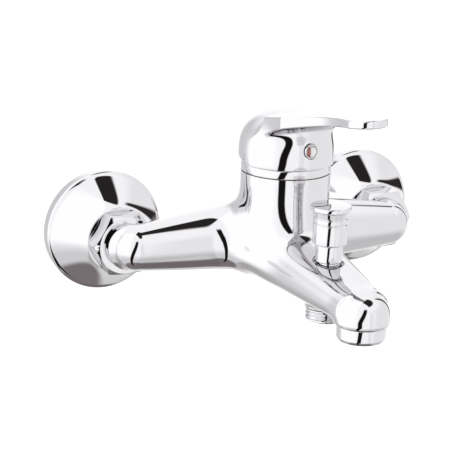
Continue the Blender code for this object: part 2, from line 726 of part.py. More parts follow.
def lever_relief(frame):
    """Half space under the raised rear skirt, so that the lever can lift."""
    tilt = math.tan(LEVER_LIFT)
    base = PIVOT_Z + (TRIM_TOP + 2 * GAP - PIVOT_Z) / math.cos(LEVER_LIFT)
    slope = frame @ Matrix.Translation((0, 0, base)) @ Matrix.Rotation(math.atan(tilt), 4, "X")
    return block("cutter", (-40, -20, -40), (40, 60, 0), None, slope)


def lever_handle(look):
    frame = lever_frame()
    low = (-31.5, -LEVER_END - 5.0, HANDLE_MID - 16.9)
    high = (31.5, 31.5, BLADE_TOP[2] + 7.0)
    handle = skin("lever_handle", handle_field, low, high, (4.5, 4.5, 1.7), look)
    handle.data.transform(Matrix.Translation((0, TOWER_Y * MM, 0)) @ Matrix.Rotation(HANDLE_YAW, 4, "Z"))
    hub = 7.4
    cavity = [(0, SKIRT_Z - 12), (HANDLE_CAVITY_R, SKIRT_Z - 12), (HANDLE_CAVITY_R, HANDLE_ROOF),
              (hub, HANDLE_ROOF), (hub, SKIRT_Z + 4.5), (0, SKIRT_Z + 4.5)]
    half = SPINDLE_AF / 2 + GAP
    reach = HANDLE_R + 6
    bore = [frame @ Vector((0, -d, PLUG_Z)) for d in (0, reach)]
    cutters = [
        block("cutter", (-40, -40, SKIRT_Z - 30), (40, 40, SKIRT_Z), None, frame),
        lever_relief(frame),
        lathe("cutter", cavity, None, frame, 36),
        block("cutter", (-half, -half, SKIRT_Z - 5), (half, half, HANDLE_ROOF - 3 + GAP), None, frame),
        rod("cutter", bore[0], bore[1], 2.8, None, 16),
        rod("cutter", frame @ Vector((0, -HANDLE_CAVITY_R, PLUG_Z)), bore[1], PLUG_R + GAP, None, 24),
    ]
    cut(handle, cutters)
    shade(handle, 42.0)
    return handle


def set_screw(look):
    frame = lever_frame()
    start = frame @ Vector((0, -SPINDLE_AF / 2 - 2 * GAP, PLUG_Z))
    end = frame @ Vector((0, -12.0, PLUG_Z))
    screw = rod("handle_set_screw", start, end, 2.5, look, 20)
    socket_start = frame @ Vector((0, -9.5, PLUG_Z))
    socket_end = frame @ Vector((0, -14.0, PLUG_Z))
    cut(screw, [rod("cutter", socket_start, socket_end, 1.3, None, 6)])
    shade(screw, 40.0)
    return screw


def indicator_plug(look):
    frame = lever_frame()
    turned, _ = between(frame @ Vector((0, -21.0, PLUG_Z)), frame @ Vector((0, -30.0, PLUG_Z)))
    profile = [(0, 0), (2.6, 0), (PLUG_R, 0.8), (PLUG_R, 3.4), (PLUG_R - 0.7, 4.1), (PLUG_R * 0.5, 4.7), (0, 4.9)]
    return lathe("indicator_plug", profile, look, turned, 24)


# ---- spout outlet ------------------------------------------------------------------
def aerator_housing(look):
    inner = 9.3
    top = MOUTH_TOP - GAP - 1.1 - GAP
    shoulder = NOSE_BOTTOM - GAP
    profile = [(inner, AERATOR_BOTTOM + 0.4), (inner + 0.4, AERATOR_BOTTOM), (AERATOR_R - 1.2, AERATOR_BOTTOM),
               (AERATOR_R - 0.3, AERATOR_BOTTOM + 0.9), (AERATOR_R, AERATOR_BOTTOM + 2.2), (AERATOR_R, shoulder),
               (AERATOR_THREAD_R, shoulder), (AERATOR_THREAD_R, top), (7.9, top), (7.9, top - 1.0),
               (inner, top - 1.0)]
    return lathe("aerator_housing", profile, look, upright(0, NOSE_Y), 28)


def aerator_gasket(look):
    high = MOUTH_TOP - GAP
    low = high - 1.1
    profile = [(6.8, low), (10.3, low), (10.3, high), (6.8, high)]
    return lathe("aerator_gasket", profile, look, upright(0, NOSE_Y))


def holed_disc(name, radius, low, high, rings, hole, look):
    disc = lathe(name, [(0, low), (radius, low), (radius, high), (0, high)], look, upright(0, NOSE_Y))
    holes = []
    for ring, count in rings:
        for k in range(count):
            turn = 2.0 * math.pi * k / count
            x = ring * math.cos(turn)
            y = NOSE_Y + ring * math.sin(turn)
            holes.append(drum(hole, low - 1, high + 1, x, y, 6))
    cut(disc, holes)
    shade(disc, 40.0)
    return disc


def aerator_flow_plate(look):
    high = MOUTH_TOP - GAP - 1.1 - GAP - 1.0 - GAP
    return holed_disc("aerator_flow_plate", 9.0, high - 2.6, high, ((0.0, 1), (5.4, 6)), 1.5, look)


def aerator_screen(look):
    low = AERATOR_BOTTOM + 1.3
    return holed_disc("aerator_screen", 9.0, low, low + 1.2, ((0.0, 1), (3.6, 6), (6.8, 6)), 1.2, look)


# ---- diverter ----------------------------------------------------------------------
PISTON_LOW = VALVE_SEAT + GAP
SEAL_THICK = 1.2
PISTON_THICK = 1.8


def diverter_knob(look):
    rim = KNOB_TOP - 2.2
    groove = rim - 3.0
    profile = [(0, KNOB_TOP), (KNOB_R - 0.5, KNOB_TOP), (KNOB_R, KNOB_TOP - 0.5), (KNOB_R, rim + 0.5),
               (KNOB_R - 0.5, rim), (KNOB_BODY_R + 0.3, rim - 0.6), (KNOB_BODY_R, groove),
               (KNOB_BODY_R - 0.4, groove - 0.3), (KNOB_BODY_R - 0.4, groove - 0.8), (KNOB_BODY_R, groove - 1.1),
               (KNOB_BODY_R, groove - 3.0), (KNOB_BODY_R - 0.4, groove - 3.3), (KNOB_BODY_R - 0.4, groove - 3.8),
               (KNOB_BODY_R, groove - 4.1), (KNOB_BODY_R - 0.3, KNOB_BOTTOM + 0.5), (KNOB_BODY_R - 0.8, KNOB_BOTTOM),
               (STEM_R + GAP, KNOB_BOTTOM), (STEM_R + GAP, KNOB_TOP - 6.0), (0, KNOB_TOP - 6.0)]
    return lathe("diverter_knob", profile, look, upright(0, DIVERTER_Y), 24)


def diverter_bonnet(look):
    groove = BONNET_TOP - 3.2
    profile = [(4.7, VALVE_TOP), (6.9, VALVE_TOP), (6.9, VALVE_TOP + 2.4), (BONNET_R - 0.5, VALVE_TOP + 2.7),
               (BONNET_R - 0.5, 6.0), (BONNET_R, 6.4), (BONNET_R, BONNET_TOP - 0.5), (BONNET_R - 0.5, BONNET_TOP),
               (STEM_R + GAP, BONNET_TOP), (STEM_R + GAP, groove + 2.0), (4.1, groove + 2.0), (4.1, groove),
               (STEM_R + GAP, groove), (STEM_R + GAP, groove - 1.2), (4.7, groove - 1.2)]
    return lathe("diverter_bonnet", profile, look, upright(0, DIVERTER_Y))


def stem_o_ring(look):
    middle = BONNET_TOP - 2.2
    return round_ring("stem_o_ring", 3.25, 0.7, middle, DIVERTER_Y, look)


def round_ring(name, radius, wire, height, y, look):
    profile = []
    for k in range(6):
        turn = 2.0 * math.pi * k / 6
        profile.append((radius + wire * math.cos(turn), height + wire * math.sin(turn)))
    return lathe(name, profile, look, upright(0, y), 18)


def diverter_stem(look):
    low = PISTON_LOW
    foot = low + SEAL_THICK + GAP + PISTON_THICK + GAP + SEAL_THICK
    profile = [(0, low - 0.9), (1.6, low - 0.9), (1.6, foot + 1.0), (STEM_R, foot + 1.2), (STEM_R, KNOB_TOP - 6.4),
               (0, KNOB_TOP - 6.4)]
    return lathe("diverter_stem", profile, look, upright(0, DIVERTER_Y), 16)


def valve_ring(name, low, thick, radius, look):
    inner = 1.6 + GAP
    profile = [(inner, low), (radius, low), (radius, low + thick), (inner, low + thick)]
    return lathe(name, profile, look, upright(0, DIVERTER_Y))


def coil(name, radius, wire, low, high, turns, y, look):
    """Round wire compression spring with its axis upright."""
    steps = int(turns * 9)
    sides = 5
    points = []
    rise = (high - low - 2.0 * wire) / steps
    for i in range(steps + 1):
        turn = 2.0 * math.pi * turns * i / steps
        height = low + wire + rise * i
        for k in range(sides):
            around = 2.0 * math.pi * k / sides
            reach = radius + wire * math.cos(around)
            points.append((reach * math.cos(turn), y + reach * math.sin(turn), height + wire * math.sin(around)))
    faces = [tuple(range(sides)), tuple(reversed(range(steps * sides, (steps + 1) * sides)))]
    for i in range(steps):
        for k in range(sides):
            n = (k + 1) % sides
            faces.append((i * sides + k, (i + 1) * sides + k, (i + 1) * sides + n, i * sides + n))
    return to_object(name, points, faces, look)


def diverter_parts(looks):
    low = PISTON_LOW
    middle = low + SEAL_THICK + GAP
    high = middle + PISTON_THICK + GAP
    spring_low = high + SEAL_THICK + GAP
    spring_high = BONNET_TOP - 3.2 - 1.2 - GAP
    return [
        diverter_bonnet(looks["chrome"]),
        stem_o_ring(looks["rubber"]),
        diverter_knob(looks["chrome"]),
        diverter_stem(looks["brass"]),
        valve_ring("piston_seal_lower", low, SEAL_THICK, 5.7, looks["rubber"]),
        valve_ring("diverter_piston", middle, PISTON_THICK, 5.6, looks["brass"]),
        valve_ring("piston_seal_upper", high, SEAL_THICK, 5.7, looks["rubber"]),
        coil("diverter_spring", 3.6, 0.4, spring_low, spring_high, 6, DIVERTER_Y, looks["steel"]),
    ]


# ---- shower outlet -----------------------------------------------------------------
CHECK_TOP = SHOWER_SEAT + 3.8
POPPET_TOP = CHECK_TOP - 2.0


def shower_nipple(look):
    shoulder = SHOWER_SEAT - GAP
    inside = VALVE_SEAT - 1.4 - GAP
    profile = [(7.0, SHOWER_BOTTOM + 0.4), (7.4, SHOWER_BOTTOM), (G12_R - 1.0, SHOWER_BOTTOM),
               (G12_R, SHOWER_BOTTOM + 1.0), (G12_R, shoulder - 1.4), (9.7, shoulder - 0.9), (9.7, shoulder),
               (9.0, shoulder), (9.0, inside), (4.5, inside), (4.5, CHECK_TOP + GAP), (7.0, CHECK_TOP + GAP)]
    return lathe("shower_nipple", profile, look, upright(0, DIVERTER_Y), 24)


def check_valve_body(look):
    low = SHOWER_BOTTOM + 1.0
    floor = low + 1.4
    profile = [(1.5, low), (6.7, low), (6.7, CHECK_TOP), (3.2, CHECK_TOP), (3.2, POPPET_TOP + GAP),
               (5.2, POPPET_TOP + GAP), (5.2, floor), (1.5, floor)]
    body = lathe("check_valve_body", profile, look, upright(0, DIVERTER_Y))
    holes = []
    for k in range(6):
        turn = math.pi * k / 3.0
        holes.append(drum(0.95, low - 1, floor + 0.8, 3.5 * math.cos(turn), DIVERTER_Y + 3.5 * math.sin(turn), 6))
    cut(body, holes)
    shade(body, 40.0)
    return body


def check_valve_poppet(look):
    stem_end = SHOWER_BOTTOM + 1.6
    disc_low = POPPET_TOP - 1.2
    profile = [(0, stem_end), (1.1, stem_end), (1.1, disc_low), (3.9, disc_low), (3.9, POPPET_TOP - 0.4),
               (2.4, POPPET_TOP), (0, POPPET_TOP)]
    return lathe("check_valve_poppet", profile, look, upright(0, DIVERTER_Y), 16)


def shower_parts(looks):
    floor = SHOWER_BOTTOM + 2.4
    spring_low = floor + GAP
    spring_high = POPPET_TOP - 1.2 - GAP
    return [
        shower_nipple(looks["chrome"]),
        check_valve_body(looks["grey"]),
        check_valve_poppet(looks["white"]),
        coil("check_valve_spring", 2.0, 0.22, spring_low, spring_high, 3, DIVERTER_Y, looks["steel"]),
    ]


# ---- assembly ----------------------------------------------------------------------
def cartridge_parts(looks):
    parts = []
    for side, spot in ports().items():
        name = "outlet_seal" if side == "outlet" else "inlet_seal_" + side
        parts.append(port_seal(name, spot, looks["rubber"]))
    parts.append(ported_disc("cartridge_base", HOUSING_BORE - 0.4, BASE_LOW, BASE_HIGH, PORT_R, looks["white"]))
    parts.append(ported_disc("ceramic_disc_fixed", FIXED_DISC_R, FIXED_LOW, FIXED_HIGH, PORT_R - 0.4, looks["ceramic"]))
    parts.append(cartridge_housing(looks["white"]))
    parts.append(retaining_nut(looks["brass"]))
    parts.append(trim_ring(looks["chrome"]))
    return parts


def swivel_parts(looks):
    return [
        cartridge_rotor(looks["grey"]),
        pivot_pin(looks["steel"]),
        moving_disc(looks["ceramic"]),
        disc_carrier(looks["grey"]),
    ]


def lever_parts(looks):
    return [
        lever_spindle(looks["brass"]),
        lever_handle(looks["chrome"]),
        set_screw(looks["steel"]),
        indicator_plug(looks["jewel"]),
    ]


def outlet_parts(looks):
    return [
        aerator_housing(looks["chrome"]),
        aerator_gasket(looks["rubber"]),
        aerator_flow_plate(looks["white"]),
        aerator_screen(looks["grey"]),
    ]


def build():
    clear_scene()
    looks = finishes()
    for side, x in (("left", -INLET_X), ("right", INLET_X)):
        wall_side(side, x, looks)
    mixer_body(looks["chrome"])
    cartridge_parts(looks)
    for piece in swivel_parts(looks):
        move_origin(piece, (0, TOWER_Y, PIVOT_Z))
    for piece in lever_parts(looks):
        move_origin(piece, (0, TOWER_Y, PIVOT_Z))
    outlet_parts(looks)
    for piece in diverter_parts(looks) + shower_parts(looks):
        move_origin(piece, (0, DIVERTER_Y, 0))


build()
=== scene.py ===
"""Visual model of a wall mounted bath and shower mixer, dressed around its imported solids.

Sizes are in millimetres and become metres through MM.  The wall is the plane y = 0,
the faucet stands out towards -Y and +Z is up.
"""
import json
import logging
import math
from dataclasses import dataclass, field
from enum import Enum
from typing import Callable, Iterable, Sequence

import bmesh
import bpy
import numpy as np
from mathutils import Matrix, Vector


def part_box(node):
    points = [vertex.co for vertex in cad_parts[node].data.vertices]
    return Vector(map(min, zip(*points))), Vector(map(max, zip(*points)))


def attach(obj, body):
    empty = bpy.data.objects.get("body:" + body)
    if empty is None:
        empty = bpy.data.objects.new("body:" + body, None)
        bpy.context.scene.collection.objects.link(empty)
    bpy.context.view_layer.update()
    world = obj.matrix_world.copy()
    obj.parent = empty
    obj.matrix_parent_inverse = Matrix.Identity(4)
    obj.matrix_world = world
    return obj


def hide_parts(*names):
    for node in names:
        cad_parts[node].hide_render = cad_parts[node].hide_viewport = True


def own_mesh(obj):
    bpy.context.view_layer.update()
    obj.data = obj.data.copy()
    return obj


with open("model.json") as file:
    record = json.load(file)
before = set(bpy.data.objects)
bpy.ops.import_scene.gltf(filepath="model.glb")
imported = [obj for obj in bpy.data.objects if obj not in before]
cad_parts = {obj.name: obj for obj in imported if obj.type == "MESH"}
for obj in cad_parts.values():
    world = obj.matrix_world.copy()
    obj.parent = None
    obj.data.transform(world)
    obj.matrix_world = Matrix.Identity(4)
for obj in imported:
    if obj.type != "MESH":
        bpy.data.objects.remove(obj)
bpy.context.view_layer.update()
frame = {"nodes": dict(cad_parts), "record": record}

MM = 0.001
LOG = logging.getLogger("faucet")

Piece = bpy.types.Object
Material = bpy.types.Material
Socket = bpy.types.NodeSocket
Outline = list[tuple[float, float, float]]
ScalarField = Callable[[np.ndarray], np.ndarray]


class Slot(Enum):
    """Material slots of the record."""

    CHROME = "chrome_plate"
    BRASS = "machined_brass"
    STEEL = "stainless_steel"
    RUBBER = "black_rubber"
    WHITE = "white_acetal"
    GREY = "grey_nylon"
    CERAMIC = "alumina_ceramic"
    JEWEL = "indicator_resin"


class Side(Enum):
    """Side of the faucet as seen by someone facing the wall."""

    LEFT = "left"
    RIGHT = "right"


# ---- shader building ---------------------------------------------------------------
class Tree:
    """Thin helper that adds and links nodes in one node tree."""

    def __init__(self, nodes: bpy.types.NodeTree) -> None:
        """Args: nodes: the tree to build in."""
        self.tree = nodes

    def add(self, kind: str, **settings: object) -> bpy.types.Node:
        """Adds a node.

        Args:
            kind: the node's identifier.
            settings: attributes to set on it.

        Returns:
            The new node.
        """
        made = self.tree.nodes.new(kind)
        for name, value in settings.items():
            setattr(made, name, value)
        return made

    def feed(self, socket: Socket, value: object) -> None:
        """Links a socket to another one, or sets its constant value."""
        if isinstance(value, Socket):
            self.tree.links.new(value, socket)
        else:
            socket.default_value = value

    def math(self, operation: str, *values: object) -> Socket:
        """Adds a math node.

        Args:
            operation: the math operation.
            values: numbers or sockets for its inputs.

        Returns:
            Its output socket.
        """
        made = self.add("ShaderNodeMath", operation=operation)
        for socket, value in zip(made.inputs, values):
            self.feed(socket, value)
        return made.outputs[0]

    def ramp(self, value: object, low: float, high: float, start: float = 0.0, end: float = 1.0) -> Socket:
        """Smooth step of value between low and high, scaled from start to end."""
        made = self.add("ShaderNodeMapRange", interpolation_type="SMOOTHSTEP")
        names = ("Value", "From Min", "From Max", "To Min", "To Max")
        for name, item in zip(names, (value, low, high, start, end)):
            self.feed(made.inputs[name], item)
        return made.outputs[0]


@dataclass(frozen=True)
class Finish:
    """Base of every finish: a principled shader with its own fine relief."""

    slot: Slot
    colour: tuple[float, float, float]
    roughness: float
    metallic: float
    coat: float = 0.0

    def material(self) -> Material:
        """Builds the material.

        Returns:
            The finished material.
        """
        made = bpy.data.materials.new("finish_" + self.slot.value)
        made.use_nodes = True
        shader = made.node_tree.nodes["Principled BSDF"]
        shader.inputs["Base Color"].default_value = (*self.colour, 1.0)
        shader.inputs["Roughness"].default_value = self.roughness
        shader.inputs["Metallic"].default_value = self.metallic
        shader.inputs["Coat Weight"].default_value = self.coat
        self.detail(Tree(made.node_tree), shader)
        return made

    def detail(self, tree: Tree, shader: bpy.types.Node) -> None:
        """Adds the surface's own pattern; overridden by each finish."""

    def noise(self, tree: Tree, scale: float, stretch: Sequence[float] = (1.0, 1.0, 1.0)) -> Socket:
        """Noise in the piece's own space.

        Args:
            tree: the material's tree.
            scale: noise scale per metre.
            stretch: scale along each axis.

        Returns:
            The noise value.
        """
        where = tree.add("ShaderNodeTexCoord")
        mapping = tree.add("ShaderNodeMapping")
        tree.feed(mapping.inputs["Vector"], where.outputs["Object"])
        tree.feed(mapping.inputs["Scale"], tuple(stretch))
        made = tree.add("ShaderNodeTexNoise")
        tree.feed(made.inputs["Vector"], mapping.outputs[0])
        tree.feed(made.inputs["Scale"], scale)
        tree.feed(made.inputs["Detail"], 4.0)
        return made.outputs["Fac"]

    def wear(self, tree: Tree, shader: bpy.types.Node, mask: Socket, *steps: float) -> None:
        """Varies the roughness with a mask.

        Args:
            tree: the material's tree.
            shader: its principled shader.
            mask: the noise that the roughness follows.
            steps: mask values where the change starts and ends, and the shares of the roughness there.
        """
        low, high, smooth, rough = steps
        change = tree.ramp(mask, low, high, self.roughness * smooth, self.roughness * rough)
        tree.feed(shader.inputs["Roughness"], change)

    def relief(self, tree: Tree, shader: bpy.types.Node, height: Socket, depth: float) -> None:
        """Raises the surface by height times depth millimetres."""
        bump = tree.add("ShaderNodeBump")
        tree.feed(bump.inputs["Height"], height)
        tree.feed(bump.inputs["Strength"], 1.0)
        tree.feed(bump.inputs["Distance"], depth * MM)
        tree.feed(shader.inputs["Normal"], bump.outputs[0])

    def tone(self, tree: Tree, shader: bpy.types.Node, mask: Socket, other: Sequence[float]) -> None:
        """Varies the colour towards another one where the mask is high."""
        mix = tree.add("ShaderNodeMix", data_type="RGBA")
        tree.feed(mix.inputs["Factor"], mask)
        tree.feed(mix.inputs[6], (*self.colour, 1.0))
        tree.feed(mix.inputs[7], (*other, 1.0))
        tree.feed(shader.inputs["Base Color"], mix.outputs[2])


@dataclass(frozen=True)
class ChromeFinish(Finish):
    """Mirror chrome over a hand polished casting."""

    def detail(self, tree: Tree, shader: bpy.types.Node) -> None:
        """Faint polishing waves and a trace of wiping haze."""
        haze = self.noise(tree, 45.0)
        self.wear(tree, shader, haze, 0.35, 0.75, 0.6, 1.5)
        self.relief(tree, shader, self.noise(tree, 110.0), 0.004)


@dataclass(frozen=True)
class TurnedFinish(Finish):
    """Metal turned on a lathe, with fine tool marks across its axis."""

    axis: str = "Z"
    pitch: float = 0.16

    def detail(self, tree: Tree, shader: bpy.types.Node) -> None:
        """Tool marks and slight staining."""
        where = tree.add("ShaderNodeTexCoord")
        wave = tree.add("ShaderNodeTexWave", wave_type="BANDS", bands_direction=self.axis)
        tree.feed(wave.inputs["Vector"], where.outputs["Object"])
        tree.feed(wave.inputs["Scale"], 0.314 / (self.pitch * MM))
        tree.feed(wave.inputs["Distortion"], 0.4)
        stain = self.noise(tree, 260.0)
        dark = tuple(c * 0.72 for c in self.colour)
        self.tone(tree, shader, tree.ramp(stain, 0.45, 0.8), dark)
        self.wear(tree, shader, stain, 0.3, 0.8, 0.8, 1.4)
        self.relief(tree, shader, wave.outputs["Fac"], 0.012)


@dataclass(frozen=True)
class GrainFinish(Finish):
    """Moulded or lapped material with a fine even grain."""

    scale: float = 1500.0
    depth: float = 0.01
    shade: float = 0.86

    def detail(self, tree: Tree, shader: bpy.types.Node) -> None:
        """Fine grain and a slow change of tone."""
        grain = self.noise(tree, self.scale)
        slow = self.noise(tree, self.scale / 14.0)
        self.tone(tree, shader, tree.ramp(slow, 0.4, 0.75), tuple(c * self.shade for c in self.colour))
        self.wear(tree, shader, grain, 0.3, 0.7, 0.85, 1.15)
        self.relief(tree, shader, grain, self.depth)


@dataclass(frozen=True)
class JewelFinish(Finish):
    """Pale clear resin over a narrow red and brown mark."""

    mark: tuple[float, float, float] = (0.3, 0.07, 0.045)
    split: float = 0.0

    def detail(self, tree: Tree, shader: bpy.types.Node) -> None:
        """Draws the mark left of the middle and clouds the button slightly."""
        where = tree.add("ShaderNodeTexCoord")
        parts = tree.add("ShaderNodeSeparateXYZ")
        tree.feed(parts.inputs[0], where.outputs["Object"])
        cloud = self.noise(tree, 900.0)
        edge = tree.math("ADD", parts.outputs["X"], tree.math("MULTIPLY", cloud, 0.0006))
        near = tree.ramp(edge, self.split - 0.0026, self.split - 0.0021)
        far = tree.ramp(edge, self.split - 0.001, self.split - 0.0004, 1.0, 0.0)
        self.tone(tree, shader, tree.math("MULTIPLY", near, far), self.mark)
        self.wear(tree, shader, cloud, 0.3, 0.8, 0.6, 1.6)


class Palette:
    """All finishes, made once and handed out by slot."""

    def __init__(self, jewel_split: float) -> None:
        """Args: jewel_split: x of the button's middle, in metres."""
        brass = (0.72, 0.54, 0.27)
        jewel = (0.86, 0.84, 0.83)
        ceramic = (0.85, 0.82, 0.76)
        self.made = {
            Slot.CHROME: ChromeFinish(Slot.CHROME, (0.7, 0.695, 0.71), 0.03, 1.0).material(),
            Slot.BRASS: TurnedFinish(Slot.BRASS, brass, 0.26, 1.0).material(),
            Slot.STEEL: TurnedFinish(Slot.STEEL, (0.6, 0.6, 0.61), 0.3, 1.0, axis="X", pitch=0.1).material(),
            Slot.RUBBER: GrainFinish(Slot.RUBBER, (0.022, 0.022, 0.023), 0.7, 0.0, shade=1.7).material(),
            Slot.WHITE: GrainFinish(Slot.WHITE, (0.8, 0.8, 0.77), 0.42, 0.0).material(),
            Slot.GREY: GrainFinish(Slot.GREY, (0.25, 0.26, 0.28), 0.48, 0.0).material(),
            Slot.CERAMIC: GrainFinish(Slot.CERAMIC, ceramic, 0.16, 0.0, 0.3, 4000.0, 0.002).material(),
            Slot.JEWEL: JewelFinish(Slot.JEWEL, jewel, 0.06, 0.0, 1.0, split=jewel_split).material(),
        }
        self.pipe = TurnedFinish(Slot.BRASS, brass, 0.3, 1.0, axis="Y", pitch=0.2).material()

    def get(self, slot: Slot) -> Material:
        """Returns the material of a slot."""
        return self.made[slot]


# ---- mesh building -----------------------------------------------------------------
def link(name: str, mesh: bpy.types.Mesh) -> Piece:
    """Wraps a mesh in an object that stands at the origin."""
    made = bpy.data.objects.new(name, mesh)
    bpy.context.scene.collection.objects.link(made)
    return made


def build_mesh(name: str, points: Iterable[Sequence[float]], faces: Iterable[Sequence[int]]) -> Piece:
    """Makes an object from points in metres.

    Args:
        name: object name.
        points: vertex positions.
        faces: vertex indices of each face.

    Returns:
        The new object with its normals outwards.
    """
    mesh = bpy.data.meshes.new(name)
    mesh.from_pydata([tuple(map(float, p)) for p in points], [], [tuple(map(int, f)) for f in faces])
    work = bmesh.new()
    work.from_mesh(mesh)
    bmesh.ops.recalc_face_normals(work, faces=work.faces)
    work.to_mesh(mesh)
    work.free()
    return link(name, mesh)


def soften(piece: Piece, degrees: float = 30.0) -> Piece:
    """Shades a piece smooth except across edges sharper than an angle."""
    work = bmesh.new()
    work.from_mesh(piece.data)
    limit = math.radians(degrees)
    for face in work.faces:
        face.smooth = True
    for edge in work.edges:
        if len(edge.link_faces) == 2:
            edge.smooth = edge.calc_face_angle(0.0) < limit
    work.to_mesh(piece.data)
    work.free()
    return piece


def rounded(outline: Outline, steps: int = 4) -> list[tuple[float, float]]:
    """Rounds the corners of a closed (radius, height, fillet) outline.

    Args:
        outline: corners with their fillet radii, all in millimetres.
        steps: segments in each fillet.

    Returns:
        The outline as plain (radius, height) points.
    """
    made: list[tuple[float, float]] = []
    count = len(outline)
    for k, (radius, height, fillet) in enumerate(outline):
        here = Vector((radius, height))
        back = Vector(outline[k - 1][:2]) - here
        ahead = Vector(outline[(k + 1) % count][:2]) - here
        if fillet <= 0.0 or back.length < 1e-6 or ahead.length < 1e-6:
            made.append((radius, height))
            continue
        turn = back.angle(ahead)
        reach = min(fillet / math.tan(turn / 2.0), 0.48 * back.length, 0.48 * ahead.length)
        size = reach * math.tan(turn / 2.0)
        first = here + back.normalized() * reach
        last = here + ahead.normalized() * reach
        middle = here + (back.normalized() + ahead.normalized()).normalized() * (size / math.sin(turn / 2.0))
        start = math.atan2(first.y - middle.y, first.x - middle.x)
        sweep = math.atan2(last.y - middle.y, last.x - middle.x) - start
        sweep = (sweep + math.pi) % (2.0 * math.pi) - math.pi
        for n in range(steps + 1):
            angle = start + sweep * n / steps
            made.append((middle.x + size * math.cos(angle), middle.y + size * math.sin(angle)))
    return made


def turned(name: str, outline: Sequence[tuple[float, float]], place: Matrix, segments: int = 96) -> Piece:
    """Turns a closed outline about the local Z axis.

    Args:
        name: object name.
        outline: (radius, height) points in millimetres.
        place: frame of the axis, in millimetres.
        segments: faces around.

    Returns:
        The closed, smooth piece.
    """
    points: list[Vector] = []
    rings: list[list[int]] = []
    for radius, height in outline:
        if radius < 1e-6:
            rings.append([len(points)] * segments)
            points.append(Vector((0.0, 0.0, height)))
            continue
        rings.append(list(range(len(points), len(points) + segments)))
        for k in range(segments):
            angle = 2.0 * math.pi * k / segments
            points.append(Vector((radius * math.cos(angle), radius * math.sin(angle), height)))
    faces = []
    for low, high in zip(rings, rings[1:] + rings[:1]):
        for k in range(segments):
            n = (k + 1) % segments
            ring = list(dict.fromkeys((low[k], low[n], high[n], high[k])))
            if len(ring) > 2:
                faces.append(ring)
    return soften(build_mesh(name, [place @ p * MM for p in points], faces))


def upright(x: float, y: float) -> Matrix:
    """Frame of a vertical axis through (x, y)."""
    return Matrix.Translation((x, y, 0.0))


def inward(x: float, z: float = 0.0) -> Matrix:
    """Frame whose Z axis runs along +Y through (x, z)."""
    return Matrix.Translation((x, 0.0, z)) @ Matrix.Rotation(-math.pi / 2.0, 4, "X")


def machine(piece: Piece, cutters: Sequence[Piece], operation: str = "DIFFERENCE") -> None:
    """Applies exact booleans and deletes the cutters.

    Args:
        piece: the object to change.
        cutters: objects to combine with it.
        operation: boolean operation.
    """
    for cutter in cutters:
        step = piece.modifiers.new("machining", "BOOLEAN")
        step.operation = operation
        step.solver = "EXACT"
        step.object = cutter
        bake(piece)
        bpy.data.objects.remove(cutter, do_unlink=True)


def bake(piece: Piece) -> Piece:
    """Turns a piece's modifiers into a plain mesh."""
    graph = bpy.context.evaluated_depsgraph_get()
    result = bpy.data.meshes.new_from_object(piece.evaluated_get(graph))
    piece.modifiers.clear()
    old = piece.data
    piece.data = result
    bpy.data.meshes.remove(old)
    return piece


def dress(piece: Piece, body: str, look: Material, nodes: Sequence[str]) -> None:
    """Gives a finished piece its material, body and CAD nodes.

    Args:
        piece: the piece, with its place in its mesh.
        body: name of the body it rides on.
        look: its material.
        nodes: CAD nodes that it stands for.
    """
    piece.data.materials.clear()
    piece.data.materials.append(look)
    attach(piece, body)
    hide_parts(*nodes)
    LOG.info("%s: %d faces on %s", piece.name, len(piece.data.polygons), body)


@dataclass(frozen=True)
class Extent:
    """Box of a CAD node in millimetres."""

    low: Vector
    high: Vector

    @staticmethod
    def of(node: str) -> "Extent":
        """Reads a node's box from the frame."""
        low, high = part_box(node)
        return Extent(low / MM, high / MM)

    @property
    def centre(self) -> Vector:
        """Middle of the box."""
        return (self.low + self.high) / 2.0

    @property
    def radius(self) -> float:
        """Half the box's width in X."""
        return (self.high.x - self.low.x) / 2.0


# ---- implicit surfaces -------------------------------------------------------------
def blend(a: np.ndarray, b: np.ndarray, width: float) -> np.ndarray:
    """Joins two distance fields with a smooth neck of the given width."""
    near = np.maximum(width - np.abs(a - b), 0.0) / width
    return np.minimum(a, b) - near ** 3 * width / 6.0


def capped(side: np.ndarray, end: np.ndarray) -> np.ndarray:
    """Distance to a prism closed by its ends."""
    inside = np.minimum(np.maximum(side, end), 0.0)
    return inside + np.hypot(np.maximum(side, 0.0), np.maximum(end, 0.0))


def rounded_cap(side: np.ndarray, end: np.ndarray, radius: float) -> np.ndarray:
    """Distance to a prism whose rim is rounded."""
    return capped(side + radius, end + radius) - radius


def through(values: Sequence[float], t: np.ndarray) -> np.ndarray:
    """Quadratic through three values at t = 0, 0.5 and 1."""
    a, b, c = values
    return a * (1 - t) * (1 - 2 * t) + 4 * b * t * (1 - t) + c * t * (2 * t - 1)


def oval(x: np.ndarray, z: np.ndarray, half_x: np.ndarray, half_z: np.ndarray, power: float) -> np.ndarray:
    """Distance to a squared oval section."""
    u = np.abs(x) / half_x
    v = np.abs(z) / half_z
    reach = (u ** power + v ** power) ** (1.0 / power) + 1e-9
    slope_x = (u / reach) ** (power - 1.0) / half_x
    slope_z = (v / reach) ** (power - 1.0) / half_z
    return (reach - 1.0) / np.maximum(np.hypot(slope_x, slope_z), 1e-6)


